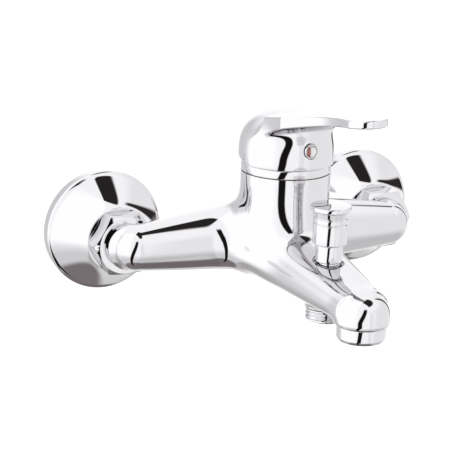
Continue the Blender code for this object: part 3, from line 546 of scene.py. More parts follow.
@dataclass
class Skin:
    """Fine mesh of the zero surface of a distance field."""

    shape: ScalarField
    low: Sequence[float]
    high: Sequence[float]
    step: Sequence[float]

    def slope(self, points: np.ndarray, reach: float = 0.02) -> np.ndarray:
        """Gradient of the field."""
        made = np.zeros_like(points)
        for axis in range(3):
            shift = np.zeros(3)
            shift[axis] = reach
            made[:, axis] = (self.shape(points + shift) - self.shape(points - shift)) / (2.0 * reach)
        return made

    def cells(self, value: np.ndarray) -> tuple[np.ndarray, np.ndarray]:
        """Finds the crossed cells and the mean of their edge crossings.

        Args:
            value: the field at the grid's corners.

        Returns:
            A mask of crossed cells, and one point for each.
        """
        shape = tuple(n - 1 for n in value.shape)
        total = np.zeros(shape + (3,))
        count = np.zeros(shape)
        for axis in range(3):
            near = np.moveaxis(value, axis, 0)[:-1]
            far = np.moveaxis(value, axis, 0)[1:]
            cross = (near < 0.0) != (far < 0.0)
            part = np.where(cross, near / np.where(cross, near - far, 1.0), 0.0)
            cross = np.moveaxis(cross, 0, axis)
            part = np.moveaxis(part, 0, axis)
            b, c = [a for a in range(3) if a != axis]
            for i, j in ((0, 0), (0, 1), (1, 0), (1, 1)):
                window = [slice(None)] * 3
                window[b] = slice(i, i + shape[b])
                window[c] = slice(j, j + shape[c])
                hit = cross[tuple(window)]
                count += hit
                total[..., axis] += part[tuple(window)]
                total[..., b] += hit * i
                total[..., c] += hit * j
        used = count > 0
        mean = total[used] / count[used][:, None]
        return used, np.array(self.low) + (np.argwhere(used) + mean) * np.array(self.step)

    def quads(self, inside: np.ndarray, index: np.ndarray, axis: int) -> list[list[int]]:
        """Faces across the grid edges that run along one axis."""
        b, c = [a for a in range(3) if a != axis]
        here = np.moveaxis(inside, (axis, b, c), (0, 1, 2))
        cell = np.moveaxis(index, (axis, b, c), (0, 1, 2))
        change = here[:-1] != here[1:]
        made = []
        for i, j, k in np.argwhere(change[:, 1:-1, 1:-1]):
            made.append([cell[i, j, k], cell[i, j + 1, k], cell[i, j + 1, k + 1], cell[i, j, k + 1]])
        return made

    def piece(self, name: str) -> Piece:
        """Meshes the surface.

        Args:
            name: object name.

        Returns:
            The closed piece, in metres.
        """
        axes = [np.arange(l, h + s, s) for l, h, s in zip(self.low, self.high, self.step)]
        grid = np.stack(np.meshgrid(*axes, indexing="ij"), -1)
        value = self.shape(grid.reshape(-1, 3)).reshape(grid.shape[:3])
        used, points = self.cells(value)
        index = np.full(used.shape, -1)
        index[used] = np.arange(used.sum())
        for _ in range(4):
            slope = self.slope(points)
            size = np.maximum((slope ** 2).sum(1), 0.3)
            move = slope * (self.shape(points) / size)[:, None]
            points = points - np.clip(move, -0.25, 0.25) * np.array(self.step)
        faces = [quad for axis in range(3) for quad in self.quads(value < 0.0, index, axis)]
        return build_mesh(name, points * MM, faces)

    def polish(self, piece: Piece, place: Matrix, tolerance: float = 0.06) -> None:
        """Sets exact normals where the mesh still lies on the field's surface.

        Args:
            piece: machined piece, in metres.
            place: frame of the field, in millimetres.
            tolerance: how far from the surface a point may lie, in millimetres.
        """
        mesh = piece.data
        soften(piece, 40.0)
        back = np.array(place.inverted())
        points = np.zeros(len(mesh.vertices) * 3)
        mesh.vertices.foreach_get("co", points)
        points = points.reshape(-1, 3) / MM @ back[:3, :3].T + back[:3, 3]
        off = np.abs(self.shape(points))
        normals = self.slope(points) @ back[:3, :3]
        normals /= np.maximum(np.linalg.norm(normals, axis=1), 1e-9)[:, None]
        corner = np.zeros(len(mesh.loops) * 3)
        mesh.corner_normals.foreach_get("vector", corner)
        corner = corner.reshape(-1, 3)
        vertex = np.zeros(len(mesh.loops), int)
        mesh.loops.foreach_get("vertex_index", vertex)
        same = (off[vertex] < tolerance) & ((corner * normals[vertex]).sum(1) > 0.8)
        corner[same] = normals[vertex[same]]
        mesh.normals_split_custom_set([tuple(n) for n in corner])


# ---- geometry nodes ----------------------------------------------------------------
class GeometryTree(Tree):
    """Geometry Nodes tree with named inputs that ends in one material."""

    def __init__(self, name: str, look: Material, inputs: dict[str, float]) -> None:
        """Starts a tree.

        Args:
            name: tree name.
            look: material of the result.
            inputs: named sizes and their values.
        """
        super().__init__(bpy.data.node_groups.new(name, "GeometryNodeTree"))
        face = self.tree.interface
        face.new_socket("Geometry", in_out="INPUT", socket_type="NodeSocketGeometry")
        face.new_socket("Geometry", in_out="OUTPUT", socket_type="NodeSocketGeometry")
        self.values = inputs
        for label in inputs:
            face.new_socket(label, in_out="INPUT", socket_type="NodeSocketFloat")
        self.enter = self.add("NodeGroupInput")
        self.leave = self.add("NodeGroupOutput")
        self.look = look

    def size(self, label: str) -> Socket:
        """Returns the socket of a named input."""
        return self.enter.outputs[label]

    def finish(self, result: Socket, piece: Piece) -> Piece:
        """Ends the tree, runs it on a piece and keeps the plain mesh.

        Args:
            result: geometry to output.
            piece: object that carries the tree.

        Returns:
            The same object with the made mesh.
        """
        real = self.add("GeometryNodeRealizeInstances")
        paint = self.add("GeometryNodeSetMaterial")
        self.feed(real.inputs[0], result)
        self.feed(paint.inputs["Geometry"], real.outputs[0])
        self.feed(paint.inputs["Material"], self.look)
        self.feed(self.leave.inputs[0], paint.outputs[0])
        step = piece.modifiers.new(self.tree.name, "NODES")
        step.node_group = self.tree
        for item in self.tree.interface.items_tree:
            if item.item_type == "SOCKET" and item.in_out == "INPUT" and item.name in self.values:
                step[item.identifier] = float(self.values[item.name])
        return bake(piece)


@dataclass
class PipeThread:
    """Helical thread cut into the outside of a turned blank about local Z."""

    radius: float
    start: float
    end: float
    pitch: float = 1.814
    depth: float = 1.0

    def cut(self, blank: Piece, look: Material) -> Piece:
        """Runs the thread's node tree on a blank that lies about the world Z axis.

        Args:
            blank: turned blank with fine rows along its thread.
            look: material of the piece.

        Returns:
            The threaded piece.
        """
        sizes = {"Radius": self.radius, "Start": self.start, "End": self.end}
        sizes |= {"Pitch": self.pitch, "Depth": self.depth}
        tree = GeometryTree("pipe_thread", look, {k: v * MM for k, v in sizes.items()})
        spot = tree.add("GeometryNodeInputPosition")
        parts = tree.add("ShaderNodeSeparateXYZ")
        tree.feed(parts.inputs[0], spot.outputs[0])
        x, y, z = parts.outputs
        reach = tree.math("SQRT", tree.math("ADD", tree.math("MULTIPLY", x, x), tree.math("MULTIPLY", y, y)))
        turn = tree.math("DIVIDE", tree.math("ARCTAN2", y, x), 2.0 * math.pi)
        phase = tree.math("FRACT", tree.math("SUBTRACT", tree.math("DIVIDE", z, tree.size("Pitch")), turn))
        ridge = tree.math("ABSOLUTE", tree.math("SUBTRACT", tree.math("MULTIPLY", phase, 2.0), 1.0))
        fade_in = tree.math("DIVIDE", tree.math("SUBTRACT", z, tree.size("Start")), tree.size("Pitch"))
        fade_out = tree.math("DIVIDE", tree.math("SUBTRACT", tree.size("End"), z), tree.size("Pitch"))
        fade = tree.math("MINIMUM", tree.math("MINIMUM", fade_in, fade_out), 1.0)
        fade = tree.math("MAXIMUM", fade, 0.0)
        outside = tree.math("GREATER_THAN", reach, tree.math("SUBTRACT", tree.size("Radius"), 0.06 * MM))
        deep = tree.math("MULTIPLY", ridge, tree.size("Depth"))
        drop = tree.math("MULTIPLY", deep, tree.math("MULTIPLY", fade, outside))
        rate = tree.math("DIVIDE", tree.math("MULTIPLY", drop, -1.0), reach)
        shift = tree.add("ShaderNodeCombineXYZ")
        tree.feed(shift.inputs[0], tree.math("MULTIPLY", x, rate))
        tree.feed(shift.inputs[1], tree.math("MULTIPLY", y, rate))
        move = tree.add("GeometryNodeSetPosition")
        tree.feed(move.inputs["Geometry"], tree.enter.outputs["Geometry"])
        tree.feed(move.inputs["Offset"], shift.outputs[0])
        return tree.finish(move.outputs[0], blank)


@dataclass
class CoilSpring:
    """Round wire compression spring standing on local Z."""

    radius: float
    wire: float
    height: float
    turns: float

    def make(self, name: str, look: Material) -> Piece:
        """Runs the spring's node tree.

        Args:
            name: object name.
            look: material of the wire.

        Returns:
            The spring, with the middle of its first turn at the origin.
        """
        sizes = {"Radius": self.radius * MM, "Wire": self.wire * MM}
        sizes |= {"Height": self.height * MM, "Turns": self.turns}
        tree = GeometryTree("coil_spring", look, sizes)
        path = tree.add("GeometryNodeCurveSpiral")
        tree.feed(path.inputs["Resolution"], 40)
        tree.feed(path.inputs["Rotations"], tree.size("Turns"))
        for label in ("Start Radius", "End Radius"):
            tree.feed(path.inputs[label], tree.size("Radius"))
        tree.feed(path.inputs["Height"], tree.size("Height"))
        ring = tree.add("GeometryNodeCurvePrimitiveCircle")
        tree.feed(ring.inputs["Resolution"], 12)
        tree.feed(ring.inputs["Radius"], tree.size("Wire"))
        sweep = tree.add("GeometryNodeCurveToMesh")
        tree.feed(sweep.inputs["Curve"], path.outputs[0])
        tree.feed(sweep.inputs["Profile Curve"], ring.outputs[0])
        tree.feed(sweep.inputs["Fill Caps"], True)
        smooth = tree.add("GeometryNodeSetShadeSmooth")
        tree.feed(smooth.inputs["Geometry"], sweep.outputs[0])
        return tree.finish(smooth.outputs[0], link(name, bpy.data.meshes.new(name)))


@dataclass
class Sieve:
    """Round sieve of two crossed layers of fine bars, flat on local Z."""

    radius: float
    pitch: float
    wire: float

    def make(self, name: str, look: Material) -> Piece:
        """Runs the sieve's node tree.

        Args:
            name: object name.
            look: material of the bars.

        Returns:
            The sieve, centred on the origin.
        """
        count = 2 * int(self.radius / self.pitch - 0.5) + 1
        sizes = {"Radius": self.radius * MM, "Pitch": self.pitch * MM}
        sizes |= {"Wire": self.wire * MM, "Count": float(count)}
        tree = GeometryTree("sieve", look, sizes)
        line = tree.add("GeometryNodeMeshLine")
        tree.feed(line.inputs["Count"], tree.size("Count"))
        span = tree.math("MULTIPLY", tree.math("SUBTRACT", tree.size("Count"), 1.0), tree.size("Pitch"))
        start = tree.add("ShaderNodeCombineXYZ")
        tree.feed(start.inputs[0], tree.math("MULTIPLY", span, -0.5))
        tree.feed(line.inputs["Start Location"], start.outputs[0])
        pace = tree.add("ShaderNodeCombineXYZ")
        tree.feed(pace.inputs[0], tree.size("Pitch"))
        tree.feed(line.inputs["Offset"], pace.outputs[0])
        bar = tree.add("GeometryNodeMeshCylinder")
        tree.feed(bar.inputs["Vertices"], 8)
        tree.feed(bar.inputs["Radius"], tree.math("MULTIPLY", tree.size("Wire"), 0.5))
        tree.feed(bar.inputs["Depth"], 1.0)
        spot = tree.add("GeometryNodeInputPosition")
        parts = tree.add("ShaderNodeSeparateXYZ")
        tree.feed(parts.inputs[0], spot.outputs[0])
        across = tree.math("MULTIPLY", parts.outputs[0], parts.outputs[0])
        square = tree.math("MULTIPLY", tree.size("Radius"), tree.size("Radius"))
        length = tree.math("MULTIPLY", tree.math("SQRT", tree.math("SUBTRACT", square, across)), 2.0)
        stretch = tree.add("ShaderNodeCombineXYZ")
        tree.feed(stretch.inputs[0], 1.0)
        tree.feed(stretch.inputs[1], 1.0)
        tree.feed(stretch.inputs[2], length)
        place = tree.add("GeometryNodeInstanceOnPoints")
        tree.feed(place.inputs["Points"], line.outputs[0])
        tree.feed(place.inputs["Instance"], bar.outputs["Mesh"])
        tree.feed(place.inputs["Rotation"], (math.pi / 2.0, 0.0, 0.0))
        tree.feed(place.inputs["Scale"], stretch.outputs[0])
        turn = tree.add("GeometryNodeTransform")
        tree.feed(turn.inputs["Geometry"], place.outputs[0])
        tree.feed(turn.inputs["Rotation"], (0.0, 0.0, math.pi / 2.0))
        lift = tree.add("ShaderNodeCombineXYZ")
        tree.feed(lift.inputs[2], tree.math("MULTIPLY", tree.size("Wire"), 0.92))
        tree.feed(turn.inputs["Translation"], lift.outputs[0])
        both = tree.add("GeometryNodeJoinGeometry")
        tree.feed(both.inputs[0], place.outputs[0])
        tree.feed(both.inputs[0], turn.outputs[0])
        return tree.finish(both.outputs[0], link(name, bpy.data.meshes.new(name)))


# ---- sub-assemblies ----------------------------------------------------------------
@dataclass
class WallUnion:
    """Cover, eccentric union and nut at one of the two wall inlets."""

    side: Side
    sheet: float = 1.2
    lip: float = 0.55
    nut_across_flats: float = 30.0
    body: str = "mixer"

    def name(self, part: str) -> str:
        """Name of a node or piece on this side."""
        return f"{part}_{self.side.value}"

    def build(self, palette: Palette) -> None:
        """Builds and dresses everything on this side."""
        self.cover(palette)
        self.nut(palette)
        self.union(palette)
        self.strainer(palette)

    def cover(self, palette: Palette) -> None:
        """Flared cover disc with a rolled rim."""
        node = self.name("escutcheon")
        box = Extent.of(node)
        depth = -box.low.y
        radius = box.radius
        neck, rim = 17.0, 6.2
        flare = []
        steps = 26
        for k in range(steps + 1):
            t = k / steps
            flare.append((neck + (radius - 1.0 - neck) * (1.0 - t) ** 1.3, -rim - t * (depth - rim)))
        bore = 13.52
        outline: Outline = [(radius, 0.0, 0.3), (radius, -rim + 0.2, 1.4)]
        outline += [(r, y, 0.0) for r, y in flare[1:-1]]
        outline += [(neck, -depth, self.lip), (bore, -depth, 0.3), (bore, -depth + self.sheet, 0.0)]
        outline += [(r - self.sheet, y + self.sheet, 0.0) for r, y in reversed(flare[3:-1:2])]
        outline += [(radius - self.sheet, 0.0, 0.0)]
        piece = turned(node + "_shell", rounded(outline), inward(box.centre.x), 160)
        dress(piece, self.body, palette.get(Slot.CHROME), [node])

    def nut(self, palette: Palette) -> None:
        """Hexagonal nut with turned chamfers and softened edges."""
        node = self.name("union_nut")
        box = Extent.of(node)
        low, high, x = box.low.y, box.high.y, box.centre.x
        flat = self.nut_across_flats / 2.0
        corner = flat / math.cos(math.pi / 6.0)
        turn = inward(x) @ Matrix.Rotation(math.pi / 3.0, 4, "Z")
        piece = turned(node + "_hex", [(0, low), (corner, low), (corner, high), (0, high)], turn, 6)
        chamfer = 1.7
        drum: Outline = [(0, low, 0), (flat - 0.3, low, 0.5), (corner + 0.2, low + chamfer, 0),
                         (corner + 0.2, high - chamfer, 0), (flat - 0.3, high, 0.5), (0, high, 0)]
        machine(piece, [turned("drum", rounded(drum), inward(x), 120)], "INTERSECT")
        socket = [(0, low + 2.2), (13.5, low + 2.2), (13.5, high + 1), (0, high + 1)]
        mouth = [(0, low - 1), (7.5, low - 1), (7.5, low + 3), (0, low + 3)]
        machine(piece, [turned("socket", socket, inward(x), 72), turned("mouth", mouth, inward(x), 72)])
        edge = piece.modifiers.new("softened", "BEVEL")
        edge.width = 0.35 * MM
        edge.segments = 2
        edge.limit_method = "ANGLE"
        edge.angle_limit = math.radians(35.0)
        bake(piece)
        dress(soften(piece, 32.0), self.body, palette.get(Slot.CHROME), [node])

    def union(self, palette: Palette) -> None:
        """Eccentric union with a cut thread at the wall end."""
        node = self.name("s_union")
        box = Extent.of(node)
        x, offset, bore = box.centre.x, 6.0, 7.4
        thread = PipeThread(10.4, 0.6, 15.6)
        rows = [(thread.radius, 16.0 - 0.2 * k, 0.0) for k in range(81)]
        blank: Outline = [(bore, 17.0, 0.3), (thread.radius - 1.2, 17.0, 0.2)] + rows[3:] + [(bore, 0.0, 0.0)]
        piece = turned(node + "_tail", rounded(blank), Matrix.Identity(4), 96)
        thread.cut(piece, palette.pipe)
        place = inward(x, offset) @ Matrix.Translation((0, 0, -3.0))
        piece.data.transform(Matrix.Scale(MM, 4) @ place @ Matrix.Scale(1 / MM, 4))
        dress(soften(piece, 55.0), self.body, palette.pipe, [node])
        self.waist(palette, x, offset, box.low.y)

    def waist(self, palette: Palette, x: float, offset: float, end: float) -> None:
        """Offset waist and nut thread of the union."""
        node = self.name("s_union")
        neck: Outline = [(0, -2.6, 0), (14.8, -2.6, 0.8), (14.8, -12.0, 1.5), (0, -12.0, 0)]
        front: Outline = [(0, -9.0, 0), (13.2, -9.0, 0.3), (13.2, end + 1.0, 0), (12.3, end, 0), (0, end, 0)]
        piece = turned(node + "_waist", rounded(neck), inward(x, offset / 2.0), 96)
        machine(piece, [turned("front", rounded(front), inward(x), 96)], "UNION")
        back_bore = [(0, -2.0), (7.4, -2.0), (7.4, -6.0), (0, -6.0)]
        front_bore = [(0, -4.5), (7.2, -4.5), (7.2, end - 1), (0, end - 1)]
        back_tool = turned("bore", back_bore, inward(x, offset), 48)
        machine(piece, [back_tool, turned("bore", front_bore, inward(x), 48)])
        dress(soften(piece), self.body, palette.pipe, [node])

    def strainer(self, palette: Palette) -> None:
        """Woven strainer inside the nut, with its rim."""
        node = self.name("filter_screen")
        box = Extent.of(node)
        piece = Sieve(box.radius - 0.3, 0.9, 0.32).make(node + "_mesh", palette.get(Slot.STEEL))
        piece.data.transform(Matrix.Translation(box.centre * MM) @ Matrix.Rotation(math.pi / 2.0, 4, "X"))
        rim: Outline = [(box.radius - 1.0, box.low.y, 0.1), (box.radius, box.low.y, 0.2),
                        (box.radius, box.high.y, 0.2), (box.radius - 1.0, box.high.y, 0.1)]
        ring = turned(node + "_rim", rounded(rim), inward(box.centre.x), 64)
        for made in (soften(piece), ring):
            dress(made, self.body, palette.get(Slot.STEEL), [node])


@dataclass
class CastBody:
    """One piece casting: two arms, tower and spout."""

    inlet_x: float = 75.0
    tower_y: float = -61.5
    tower_r: float = 22.9
    tower_top: float = 40.1
    diverter_y: float = -110.4
    nose_y: float = -145.2
    nose_r: float = 13.6
    nose_bottom: float = -15.0
    boss_y: float = -36.5
    boss_r: float = 11.8
    boss_depth: float = 5.0
    nut_room: float = 18.0
    arm_end: tuple[float, float] = (-42.0, 0.1)
    arm_root: tuple[float, float] = (-45.5, 3.4)
    arm_end_r: float = 11.2
    arm_root_r: float = 18.0
    spout_root_y: float = -60.0
    spout_half: tuple[float, float, float] = (22.6, 18.5, 13.6)
    deck: tuple[float, float, float] = (14.7, 7.2, 0.2)
    belly: tuple[float, float, float] = (-15.6, -15.9, -15.2)
    shower_seat: float = -16.6
    step: float = 1.2

    def arm_size(self, t: np.ndarray) -> tuple[np.ndarray, np.ndarray, np.ndarray]:
        """Radius and axis (y, z) of an arm, from its end at t = 0 to the middle at 1."""
        radius = self.arm_end_r + (self.arm_root_r - self.arm_end_r) * t + 3.0 * t * (1.0 - t)
        axis_y = self.arm_end[0] + (self.arm_root[0] - self.arm_end[0]) * t
        axis_z = self.arm_end[1] + (self.arm_root[1] - self.arm_end[1]) * t
        return radius, axis_y, axis_z

    def arm(self, x: np.ndarray, y: np.ndarray, z: np.ndarray) -> np.ndarray:
        """Distance to the right arm with its rounded end and inlet boss."""
        end_x = self.inlet_x - 2.0
        radius, axis_y, axis_z = self.arm_size(np.clip((self.inlet_x - x) / self.inlet_x, 0.0, 1.0))
        tube = capped(np.hypot(y - axis_y, z - axis_z) - radius, x - end_x)
        radius, axis_y, axis_z = self.arm_size((self.inlet_x - end_x) / self.inlet_x)
        ball = np.sqrt((x - end_x) ** 2 + (y - axis_y) ** 2 + (z - axis_z) ** 2) - radius
        back = np.maximum(y - self.boss_y - 8.0, self.boss_y - self.boss_depth - y)
        across = np.hypot(x - self.inlet_x, z)
        room = capped(across - self.nut_room - 0.6, self.boss_y - y)
        arm = -blend(-np.minimum(tube, ball), room, 4.0)
        return blend(arm, rounded_cap(across - self.boss_r, back, 2.0), 3.0)

    def spout(self, x: np.ndarray, y: np.ndarray, z: np.ndarray) -> np.ndarray:
        """Distance to the tapered spout and its turned down nose."""
        t = np.clip((self.spout_root_y - y) / (self.spout_root_y - self.nose_y), 0.0, 1.0)
        top = through(self.deck, t)
        bottom = through(self.belly, t)
        tube = oval(x, z - (top + bottom) / 2.0, through(self.spout_half, t), (top - bottom) / 2.0, 2.55)
        tube = capped(tube, np.maximum(y - self.spout_root_y, self.nose_y - y))
        across = np.hypot(x, y - self.nose_y) - self.nose_r
        nose = rounded_cap(across, np.maximum(z - self.deck[2], self.nose_bottom - 20.0 - z), 10.5)
        shape = blend(tube, nose, 5.0)
        rim = np.minimum(self.nose_bottom - 0.8 - z, self.nose_y + self.nose_r + 2.0 - y)
        return rounded_cap(shape, rim, 2.4)

    def shape(self, points: np.ndarray) -> np.ndarray:
        """Distance field of the whole casting."""
        x, y, z = np.abs(points[:, 0]), points[:, 1], points[:, 2]
        tall = np.maximum(z - self.tower_top - 6.0, -z - 2.0)
        tower = capped(np.hypot(x, y - self.tower_y) - self.tower_r, tall)
        whole = blend(self.arm(x, y, z), tower, 18.5)
        whole = blend(whole, self.spout(x, y, z), 20.7)
        deep = np.maximum(z + 8.0, self.shower_seat - 6.0 - z)
        seat = capped(np.hypot(x, y - self.diverter_y) - 10.9, deep)
        return blend(whole, seat, 2.5)

    def cutters(self) -> list[Piece]:
        """Tools that face and bore the casting."""
        tower = upright(0.0, self.tower_y)
        diverter = upright(0.0, self.diverter_y)
        nose = upright(0.0, self.nose_y)
        top, seat, mouth = self.tower_top, self.shower_seat, self.nose_bottom
        bore: Outline = [(0, seat - 9, 0), (9.3, seat - 9, 0), (9.3, -10.6, 0), (3.8, -10.6, 0),
                         (3.8, -9.2, 0), (6.2, -9.2, 0), (6.2, 0.7, 0), (7.2, 0.7, 0),
                         (7.2, 3.4, 0), (7.9, 3.4, 0), (7.9, 34.0, 0), (0, 34.0, 0)]
        tools = [
            turned("tool", [(0, top), (40, top), (40, top + 20), (0, top + 20)], tower, 24),
            turned("tool", [(0, mouth - 30), (20, mouth - 30), (20, mouth), (0, mouth)], nose, 24),
            turned("tool", [(0, seat - 20), (13.5, seat - 20), (13.5, seat), (0, seat)], diverter, 50),
            turned("tool", [(0, 12.6), (20.4, 12.6), (20.4, top + 5), (0, top + 5)], tower, 96),
            turned("tool", [(0, mouth - 9), (10.9, mouth - 9), (10.9, -7.6), (0, -7.6)], nose, 72),
            turned("tool", rounded(bore), diverter, 72),
        ]
        for side in (-1, 1):
            face = inward(side * self.inlet_x)
            back = self.boss_y
            room = [(0, back), (self.nut_room, back), (self.nut_room, back + 20), (0, back + 20)]
            tools.append(turned("tool", room, face, 48))
            socket = [(0, back - 3.5), (7.5, back - 3.5), (7.5, back + 1), (0, back + 1)]
            tools.append(turned("tool", socket, face, 48))
        return tools

    def build(self, palette: Palette) -> None:
        """Meshes, machines and dresses the casting."""
        low = (-self.inlet_x - 20.0, self.nose_y - 18.0, -34.0)
        high = (self.inlet_x + 20.0, self.boss_y + 18.0, self.tower_top + 12.0)
        skin = Skin(self.shape, low, high, (self.step,) * 3)
        piece = skin.piece("cast_body")
        machine(piece, self.cutters())
        skin.polish(piece, Matrix.Identity(4))
        dress(piece, "mixer", palette.get(Slot.CHROME), ["mixer_body"])


@dataclass
class Handle:
    """Domed handle with its lever and its hot and cold button."""

    tower_y: float = -61.5
    yaw: float = math.radians(2.5)
    pivot_z: float = 34.0
    lift: float = math.radians(15.0)
    skirt_z: float = 45.4
    dome_r: float = 24.5
    widest_z: float = 50.3
    top_z: float = 71.5
    cavity_r: float = 20.3
    roof_z: float = 59.5
    reach: float = 82.6
    button_z: float = 55.0
    button_r: float = 3.8
    blade_top: tuple[float, float, float] = (74.2, 78.7, 82.2)
    blade_half: tuple[float, float, float] = (19.0, 10.2, 10.4)
    blade_thick: tuple[float, float, float] = (6.5, 5.0, 4.2)
    blade_root: float = 25.0
    body: str = "lever"

    @property
    def place(self) -> Matrix:
        """Frame on the tower axis whose -Y points along the lever."""
        return Matrix.Translation((0.0, self.tower_y, 0.0)) @ Matrix.Rotation(self.yaw, 4, "Z")

    def shape(self, points: np.ndarray) -> np.ndarray:
        """Distance field of the dome and the lever."""
        w, s, z = points[:, 0], -points[:, 1], points[:, 2]
        rise = np.maximum(z - self.widest_z, 0.0) / (self.top_z - self.widest_z)
        drop = np.maximum(self.widest_z - z, 0.0) / 24.0
        reach = ((np.hypot(s, w) / self.dome_r) ** 2.4 + rise ** 2.4 + drop ** 2.4) ** (1.0 / 2.4)
        dome = (reach - 1.0) * 17.0
        tip = self.reach - self.blade_half[2]
        t = (np.clip(s, 10.0, self.reach) - self.blade_root) / (tip - self.blade_root)
        half = through(self.blade_half, np.clip(t, 0.0, 1.0))
        thick = through(self.blade_thick, np.minimum(t, 1.0)) / 2.0
        middle = through(self.blade_top, t) - thick
        edge = np.minimum(thick * 0.8, 0.8)
        side = np.hypot(w, np.maximum(s - tip, 0.0)) - half + edge
        flat = np.abs(z - middle) - thick + edge
        blade = np.maximum(capped(side, flat) - edge, 10.0 - s)
        return blend(dome, blade, 9.0)

    def cutters(self) -> list[Piece]:
        """Tools for the skirt, the hollow inside and the button's bore."""
        place, skirt = self.place, self.skirt_z
        base = self.pivot_z + (skirt + 0.3 - self.pivot_z) / math.cos(self.lift)
        slope = place @ Matrix.Translation((0, 0, base)) @ Matrix.Rotation(self.lift, 4, "X")
        wedge = [slope @ Vector((x, y, z)) * MM for x in (-40, 40) for y in (-20, 60) for z in (-40, 0)]
        sides = [(0, 1, 3, 2), (4, 6, 7, 5), (0, 4, 5, 1), (2, 3, 7, 6), (0, 2, 6, 4), (1, 5, 7, 3)]
        ahead = self.button_axis()
        seat = self.button_r + 0.3
        below = skirt - 12
        hollow: Outline = [(0, below, 0), (self.cavity_r, below, 0), (self.cavity_r, self.roof_z, 3.0),
                           (7.4, self.roof_z, 0), (7.4, skirt + 4.5, 0), (0, skirt + 4.5, 0)]
        bore = [(0, 0), (2.8, 0), (2.8, self.cavity_r), (seat, self.cavity_r), (seat, self.dome_r + 6),
                (0, self.dome_r + 6)]
        return [
            turned("tool", [(0, skirt - 30), (60, skirt - 30), (60, skirt), (0, skirt)], place, 24),
            build_mesh("tool", wedge, sides),
            turned("tool", rounded(hollow), place, 96),
            turned("tool", bore, ahead, 64),
        ]

    def build(self, palette: Palette) -> None:
        """Meshes, machines and dresses the handle and its trims."""
        low = (-31.0, -self.reach - 4.0, self.widest_z - 16.0)
        high = (31.0, 31.0, self.blade_top[2] + 6.0)
        skin = Skin(self.shape, low, high, (0.85, 0.85, 0.45))
        piece = skin.piece("handle_shell")
        piece.data.transform(Matrix.Scale(MM, 4) @ self.place @ Matrix.Scale(1 / MM, 4))
        machine(piece, self.cutters())
        skin.polish(piece, self.place)
        dress(piece, self.body, palette.get(Slot.CHROME), ["lever_handle"])
        self.button(palette)

    def button_axis(self) -> Matrix:
        """Frame whose Z axis runs forwards through the middle of the button."""
        return self.place @ Matrix.Translation((0, 0, self.button_z)) @ Matrix.Rotation(math.pi / 2.0, 4, "X")

    def button(self, palette: Palette) -> None:
        """Faceted button in a bright bezel."""
        r = self.button_r
        ahead = self.button_axis()
        gem = [(0, 21.6), (2.2, 21.6), (r - 0.9, 22.6), (r - 0.9, 24.9), (r - 1.5, 25.6),
               (1.0, 25.9), (0, 25.9)]
        stone = turned("button_stone", gem, ahead, 10)
        for face in stone.data.polygons:
            face.use_smooth = False
        bezel: Outline = [(r - 0.8, 21.3, 0.1), (r - 0.1, 21.3, 0.2), (r, 24.6, 0.35), (r - 0.3, 25.2, 0.3),
                          (r - 0.8, 25.0, 0.15)]
        ring = turned("button_bezel", rounded(bezel), ahead, 64)
        dress(stone, self.body, palette.get(Slot.JEWEL), ["indicator_plug"])
        dress(ring, self.body, palette.get(Slot.CHROME), ["indicator_plug"])


@dataclass
class TrimRing:
    """Bright ring between the tower and the handle."""

    tower_y: float = -61.5
    radius: float = 22.9
    inner: float = 20.7

    def build(self, palette: Palette) -> None:
        """Turns and dresses the ring."""
        box = Extent.of("trim_ring")
        low, high = box.low.z, box.high.z
        outline: Outline = [(self.inner, low, 0.1), (self.radius, low, 0.45),
                            (self.radius, high, 0.9), (self.inner, high, 0.2)]
        piece = turned("tower_trim", rounded(outline), upright(0.0, self.tower_y), 128)
        dress(piece, "mixer", palette.get(Slot.CHROME), ["trim_ring"])


@dataclass
class SpoutOutlet:
    """Aerator at the end of the spout."""

    nose_y: float = -145.2
    inner: float = 9.3

    def build(self, palette: Palette) -> None:
        """Builds the housing and the outlet grid."""
        box = Extent.of("aerator_housing")
        low, high = box.low.z, box.high.z
        radius, collar, shoulder = 12.05, 10.6, -15.3
        inner = self.inner
        outline: Outline = [(inner, low + 0.3, 0.2), (inner + 0.5, low, 0.2), (radius - 0.9, low, 0.8),
                            (radius, low + 1.7, 0.9), (radius, shoulder, 0.35), (collar, shoulder, 0),
                            (collar, high, 0.3), (7.9, high, 0), (7.9, high - 1.0, 0),
                            (inner, high - 1.0, 0)]
        piece = turned("aerator_ring", rounded(outline), upright(0.0, self.nose_y), 128)
        dress(piece, "mixer", palette.get(Slot.CHROME), ["aerator_housing"])
        self.grid(palette)

    def grid(self, palette: Palette) -> None:
        """Fine outlet grid in its rim."""
        box = Extent.of("aerator_screen")
        grid = Sieve(box.radius - 0.3, 1.15, 0.45).make("outlet_grid", palette.get(Slot.GREY))
        grid.data.transform(Matrix.Translation(box.centre * MM))
        rim: Outline = [(box.radius - 1.1, box.low.z, 0.2), (box.radius, box.low.z, 0.2),
                        (box.radius, box.high.z, 0.2), (box.radius - 1.1, box.high.z, 0.2)]
        ring = turned("outlet_grid_rim", rounded(rim), upright(0.0, self.nose_y), 72)
        for made in (soften(grid), ring):
            dress(made, "mixer", palette.get(Slot.GREY), ["aerator_screen"])


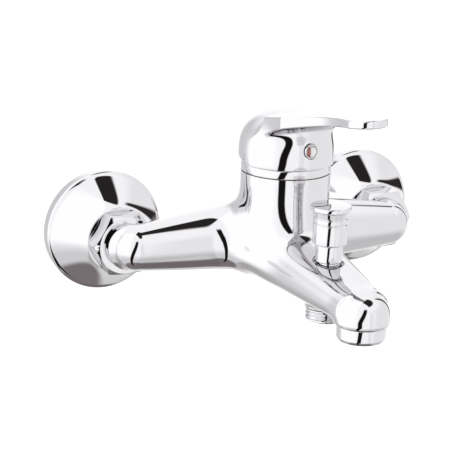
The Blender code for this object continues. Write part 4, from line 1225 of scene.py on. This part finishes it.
@dataclass
class Diverter:
    """Pull-up diverter on the deck of the spout."""

    y: float = -110.4
    flare: float = 10.05
    waist: float = 8.4
    bonnet_r: float = 6.7
    stem_r: float = 2.4
    lift: float = 4.8

    def knob(self, palette: Palette) -> None:
        """Knob with a flared cap and two fine grooves."""
        box = Extent.of("diverter_knob")
        top, low = box.high.z, box.low.z
        rim = top - 2.2
        groove = rim - 3.0
        bore = self.stem_r + 0.3
        waist = self.waist
        outline: Outline = [(0, top, 0), (self.flare, top, 0.55), (self.flare, rim, 0.45),
                            (waist + 0.3, rim - 0.6, 0.3)]
        for down in (groove, groove - 3.0):
            outline += [(waist, down, 0.12), (waist - 0.4, down - 0.3, 0.1),
                        (waist - 0.4, down - 0.8, 0.1), (waist, down - 1.1, 0.12)]
        outline += [(waist, low + 0.2, 0.5), (waist - 0.7, low, 0.3), (bore, low, 0),
                    (bore, top - 6.0, 0), (0, top - 6.0, 0)]
        piece = turned("pull_knob", rounded(outline), upright(0.0, self.y), 112)
        dress(piece, "diverter_knob", palette.get(Slot.CHROME), ["diverter_knob"])

    def bonnet(self, palette: Palette) -> None:
        """Bonnet that closes the diverter chamber."""
        box = Extent.of("diverter_bonnet")
        low, top = box.low.z, box.high.z
        groove = top - 3.2
        bore = self.stem_r + 0.3
        r = self.bonnet_r
        outline: Outline = [(4.7, low, 0), (6.8, low, 0), (6.8, low + 2.3, 0), (r - 0.5, low + 2.7, 0),
                            (r - 0.5, 6.0, 0), (r, 6.4, 0.2), (r, top, 0.5), (bore, top, 0.3),
                            (bore, groove + 2.0, 0), (4.1, groove + 2.0, 0), (4.1, groove, 0),
                            (bore, groove, 0), (bore, groove - 1.2, 0), (4.7, groove - 1.2, 0)]
        piece = turned("diverter_collar", rounded(outline), upright(0.0, self.y), 96)
        dress(piece, "mixer", palette.get(Slot.CHROME), ["diverter_bonnet"])

    def spring(self, palette: Palette) -> None:
        """Return spring under the bonnet, made as a fixed coil on the mixer; in the real faucet it shortens
        as the knob is pulled.
        """
        box = Extent.of("diverter_spring")
        height = box.high.z - box.low.z
        wire = 0.4
        coil = CoilSpring(3.6, wire, height - 2.0 * wire, 6.0).make("return_spring", palette.get(Slot.STEEL))
        coil.data.transform(Matrix.Translation(Vector((0.0, self.y, box.low.z + wire)) * MM))
        dress(coil, "mixer", palette.get(Slot.STEEL), ["diverter_spring"])
        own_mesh(coil)

    def build(self, palette: Palette) -> None:
        """Builds the diverter's pieces."""
        self.knob(palette)
        self.bonnet(palette)
        self.spring(palette)


@dataclass
class ShowerOutlet:
    """Threaded shower outlet under the spout, with its check valve spring."""

    y: float = -110.4
    radius: float = 10.4
    travel: float = 1.4

    def nipple(self, palette: Palette) -> None:
        """Chromed nipple with a cut thread."""
        box = Extent.of("shower_nipple")
        low, top = box.low.z, box.high.z
        shoulder = -16.9
        thread = PipeThread(self.radius, low + 0.4, shoulder - 0.4, depth=0.85)
        rows = int((shoulder - low - 1.2) / 0.15)
        side = [(self.radius, low + 0.7 + 0.15 * k, 0.0) for k in range(rows)]
        blank: Outline = [(7.05, low + 0.3, 0.1), (7.4, low, 0.1), (self.radius - 0.8, low, 0.1)] + side
        blank += [(self.radius, shoulder - 0.4, 0), (9.7, shoulder, 0), (9.0, shoulder, 0),
                  (9.0, top, 0), (4.5, top, 0), (4.5, -12.5, 0), (7.05, -12.5, 0)]
        piece = turned("shower_nipple_thread", rounded(blank), Matrix.Identity(4), 96)
        thread.cut(piece, palette.get(Slot.CHROME))
        piece.data.transform(Matrix.Translation((0.0, self.y * MM, 0.0)))
        dress(soften(piece, 50.0), "mixer", palette.get(Slot.CHROME), ["shower_nipple"])

    def spring(self, palette: Palette) -> None:
        """Light spring that closes the check valve."""
        box = Extent.of("check_valve_spring")
        height = box.high.z - box.low.z
        wire = 0.22
        coil = CoilSpring(2.0, wire, height - 2.0 * wire, 3.0).make("check_spring", palette.get(Slot.STEEL))
        coil.data.transform(Matrix.Translation(Vector((0.0, self.y, box.low.z + wire)) * MM))
        dress(coil, "mixer", palette.get(Slot.STEEL), ["check_valve_spring"])
        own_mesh(coil)

    def build(self, palette: Palette) -> None:
        """Builds the outlet's pieces."""
        self.nipple(palette)
        self.spring(palette)


@dataclass
class PlainParts:
    """CAD nodes whose shape is final and that only need their finish."""

    palette: Palette

    def build(self) -> None:
        """Gives every CAD node the material of its slot."""
        slots = {row["node"]: Slot(row["material_slot"]) for row in frame["record"]["subparts"]}
        for node, piece in frame["nodes"].items():
            slot = slots[node]
            look = self.palette.get(slot)
            if slot is Slot.BRASS and node.startswith(("s_union", "inlet_nipple")):
                look = self.palette.pipe
            piece.data.materials.clear()
            piece.data.materials.append(look)
            LOG.info("%s keeps its solid, in %s", node, slot.value)


# ---- studio ------------------------------------------------------------------------
@dataclass(frozen=True)
class Card:
    """Soft edged patch of the studio, bright or dark, in degrees about the faucet.

    Azimuth 0 is straight out from the wall and grows towards +X.
    """

    azimuth: float
    width: float
    low: float
    high: float
    gain: float
    soft: float = 4.0
    fade: float = 6.0
    lean: float = 0.0


@dataclass
class Studio:
    """World, floor and camera."""

    cards: list[Card] = field(default_factory=list)
    base: float = 1.28
    floor_z: float = -0.42
    floor_radius: float = 0.55

    def world(self) -> None:
        """Builds the surroundings that the chrome reflects."""
        made = bpy.data.worlds.new("studio")
        made.use_nodes = True
        bpy.context.scene.world = made
        tree = Tree(made.node_tree)
        where = tree.add("ShaderNodeTexCoord")
        parts = tree.add("ShaderNodeSeparateXYZ")
        tree.feed(parts.inputs[0], where.outputs["Generated"])
        x, y, z = parts.outputs
        degrees = 180.0 / math.pi
        azimuth = tree.math("MULTIPLY", tree.math("ARCTAN2", x, tree.math("MULTIPLY", y, -1.0)), degrees)
        height = tree.math("MULTIPLY", tree.math("ARCSINE", z), degrees)
        level: object = self.base
        for card in self.cards:
            level = tree.math("MULTIPLY", level, self.patch(tree, card, azimuth, height))
        tint = tree.add("ShaderNodeMix", data_type="RGBA")
        tree.feed(tint.inputs["Factor"], tree.ramp(level, 0.0, 0.8))
        tree.feed(tint.inputs[6], (1.0, 0.86, 0.88, 1.0))
        tree.feed(tint.inputs[7], (1.0, 0.995, 1.0, 1.0))
        shade = made.node_tree.nodes["Background"]
        tree.feed(shade.inputs["Color"], tint.outputs[2])
        tree.feed(shade.inputs["Strength"], level)

    def patch(self, tree: Tree, card: Card, azimuth: Socket, height: Socket) -> Socket:
        """Gain of one card as a function of direction.

        Args:
            tree: the world's tree.
            card: the patch.
            azimuth: azimuth of the direction, in degrees.
            height: elevation of the direction, in degrees.

        Returns:
            Socket that is the card's gain inside it and 1 outside.
        """
        middle = (card.low + card.high) / 2.0
        shift = tree.math("MULTIPLY", tree.math("SUBTRACT", height, middle), card.lean)
        turn = tree.math("SUBTRACT", tree.math("SUBTRACT", azimuth, card.azimuth), shift)
        aside = tree.math("WRAP", turn, 180.0, -180.0)
        reach = (card.width - card.soft, card.width + card.soft)
        across = tree.ramp(tree.math("ABSOLUTE", aside), *reach, 1.0, 0.0)
        above = tree.ramp(height, card.low - card.fade, card.low + card.fade)
        below = tree.ramp(height, card.high - card.fade, card.high + card.fade, 1.0, 0.0)
        mask = tree.math("MULTIPLY", across, tree.math("MULTIPLY", above, below))
        return tree.math("ADD", tree.math("MULTIPLY", mask, card.gain - 1.0), 1.0)

    def floor(self) -> None:
        """Plain pale floor below the faucet."""
        sides = 96
        angles = [2 * math.pi * k / sides for k in range(sides)]
        radius = self.floor_radius
        points = [(radius * math.cos(a), -0.06 + radius * math.sin(a), self.floor_z) for a in angles]
        piece = build_mesh("floor", points, [list(range(sides))])
        look = bpy.data.materials.new("floor_paint")
        look.use_nodes = True
        tree = Tree(look.node_tree)
        shader = look.node_tree.nodes["Principled BSDF"]
        noise = tree.add("ShaderNodeTexNoise")
        tree.feed(noise.inputs["Scale"], 3.0)
        tone = tree.add("ShaderNodeMix", data_type="RGBA")
        tree.feed(tone.inputs["Factor"], noise.outputs["Fac"])
        tree.feed(tone.inputs[6], (0.9, 0.9, 0.9, 1.0))
        tree.feed(tone.inputs[7], (0.94, 0.94, 0.94, 1.0))
        tree.feed(shader.inputs["Base Color"], tone.outputs[2])
        tree.feed(shader.inputs["Roughness"], 0.9)
        piece.data.materials.append(look)
        piece.visible_glossy = False

    def camera(self) -> None:
        """Camera at the faucet's left front, slightly above it."""
        azimuth, elevation, roll = math.radians(-26.43), math.radians(15.95), math.radians(2.11)
        distance = 986.09
        target = Vector((-31.53, -60.0, 12.9)) * MM
        back = Vector((math.sin(azimuth) * math.cos(elevation), -math.cos(azimuth) * math.cos(elevation),
                       math.sin(elevation)))
        right = Vector((math.cos(azimuth), math.sin(azimuth), 0.0))
        turn = Matrix((right, back.cross(right), back)).transposed().to_4x4()
        data = bpy.data.cameras.new("camera")
        data.sensor_width = 36.0
        data.lens = 156.2
        made = bpy.data.objects.new("camera", data)
        bpy.context.scene.collection.objects.link(made)
        place = Matrix.Translation(target + back * distance * MM)
        made.matrix_world = place @ turn @ Matrix.Rotation(roll, 4, "Z")
        bpy.context.scene.camera = made

    def build(self) -> None:
        """Sets the whole stage."""
        self.world()
        self.floor()
        self.camera()
        scene = bpy.context.scene
        scene.view_settings.view_transform = "Standard"
        scene.view_settings.look = "None"


STUDIO_CARDS = [
    Card(azimuth=-100.0, width=48.0, low=-25.0, high=90.0, gain=1.12, soft=12.0),
    Card(azimuth=80.0, width=55.0, low=-90.0, high=38.0, gain=0.84, soft=20.0, fade=12.0),
    Card(azimuth=0.0, width=200.0, low=-120.0, high=-32.0, gain=0.66, fade=14.0),
    Card(azimuth=0.0, width=200.0, low=-120.0, high=-61.0, gain=0.3, fade=5.0),
    Card(azimuth=75.0, width=57.0, low=60.0, high=120.0, gain=0.02, soft=5.0, fade=2.5),
    Card(azimuth=-36.4, width=9.0, low=-90.0, high=50.0, gain=0.008, soft=1.8, fade=5.0, lean=0.36),
    Card(azimuth=10.0, width=7.0, low=-90.0, high=30.0, gain=0.86, soft=3.0, fade=10.0),
    Card(azimuth=-158.0, width=26.0, low=-60.0, high=34.0, gain=0.62, soft=10.0, fade=14.0),
    Card(azimuth=118.0, width=4.5, low=-13.0, high=43.0, gain=0.03, soft=1.4, fade=6.0),
]


def main() -> None:
    """Builds the whole visual model and its studio."""
    logging.basicConfig(level=logging.INFO, format="%(message)s")
    jewel = Extent.of("indicator_plug").centre
    palette = Palette(jewel.x * MM)
    PlainParts(palette).build()
    for side in Side:
        WallUnion(side).build(palette)
    CastBody().build(palette)
    TrimRing().build(palette)
    Handle().build(palette)
    SpoutOutlet().build(palette)
    Diverter().build(palette)
    ShowerOutlet().build(palette)
    Studio(STUDIO_CARDS).build()


if __name__ == "__main__":
    main()
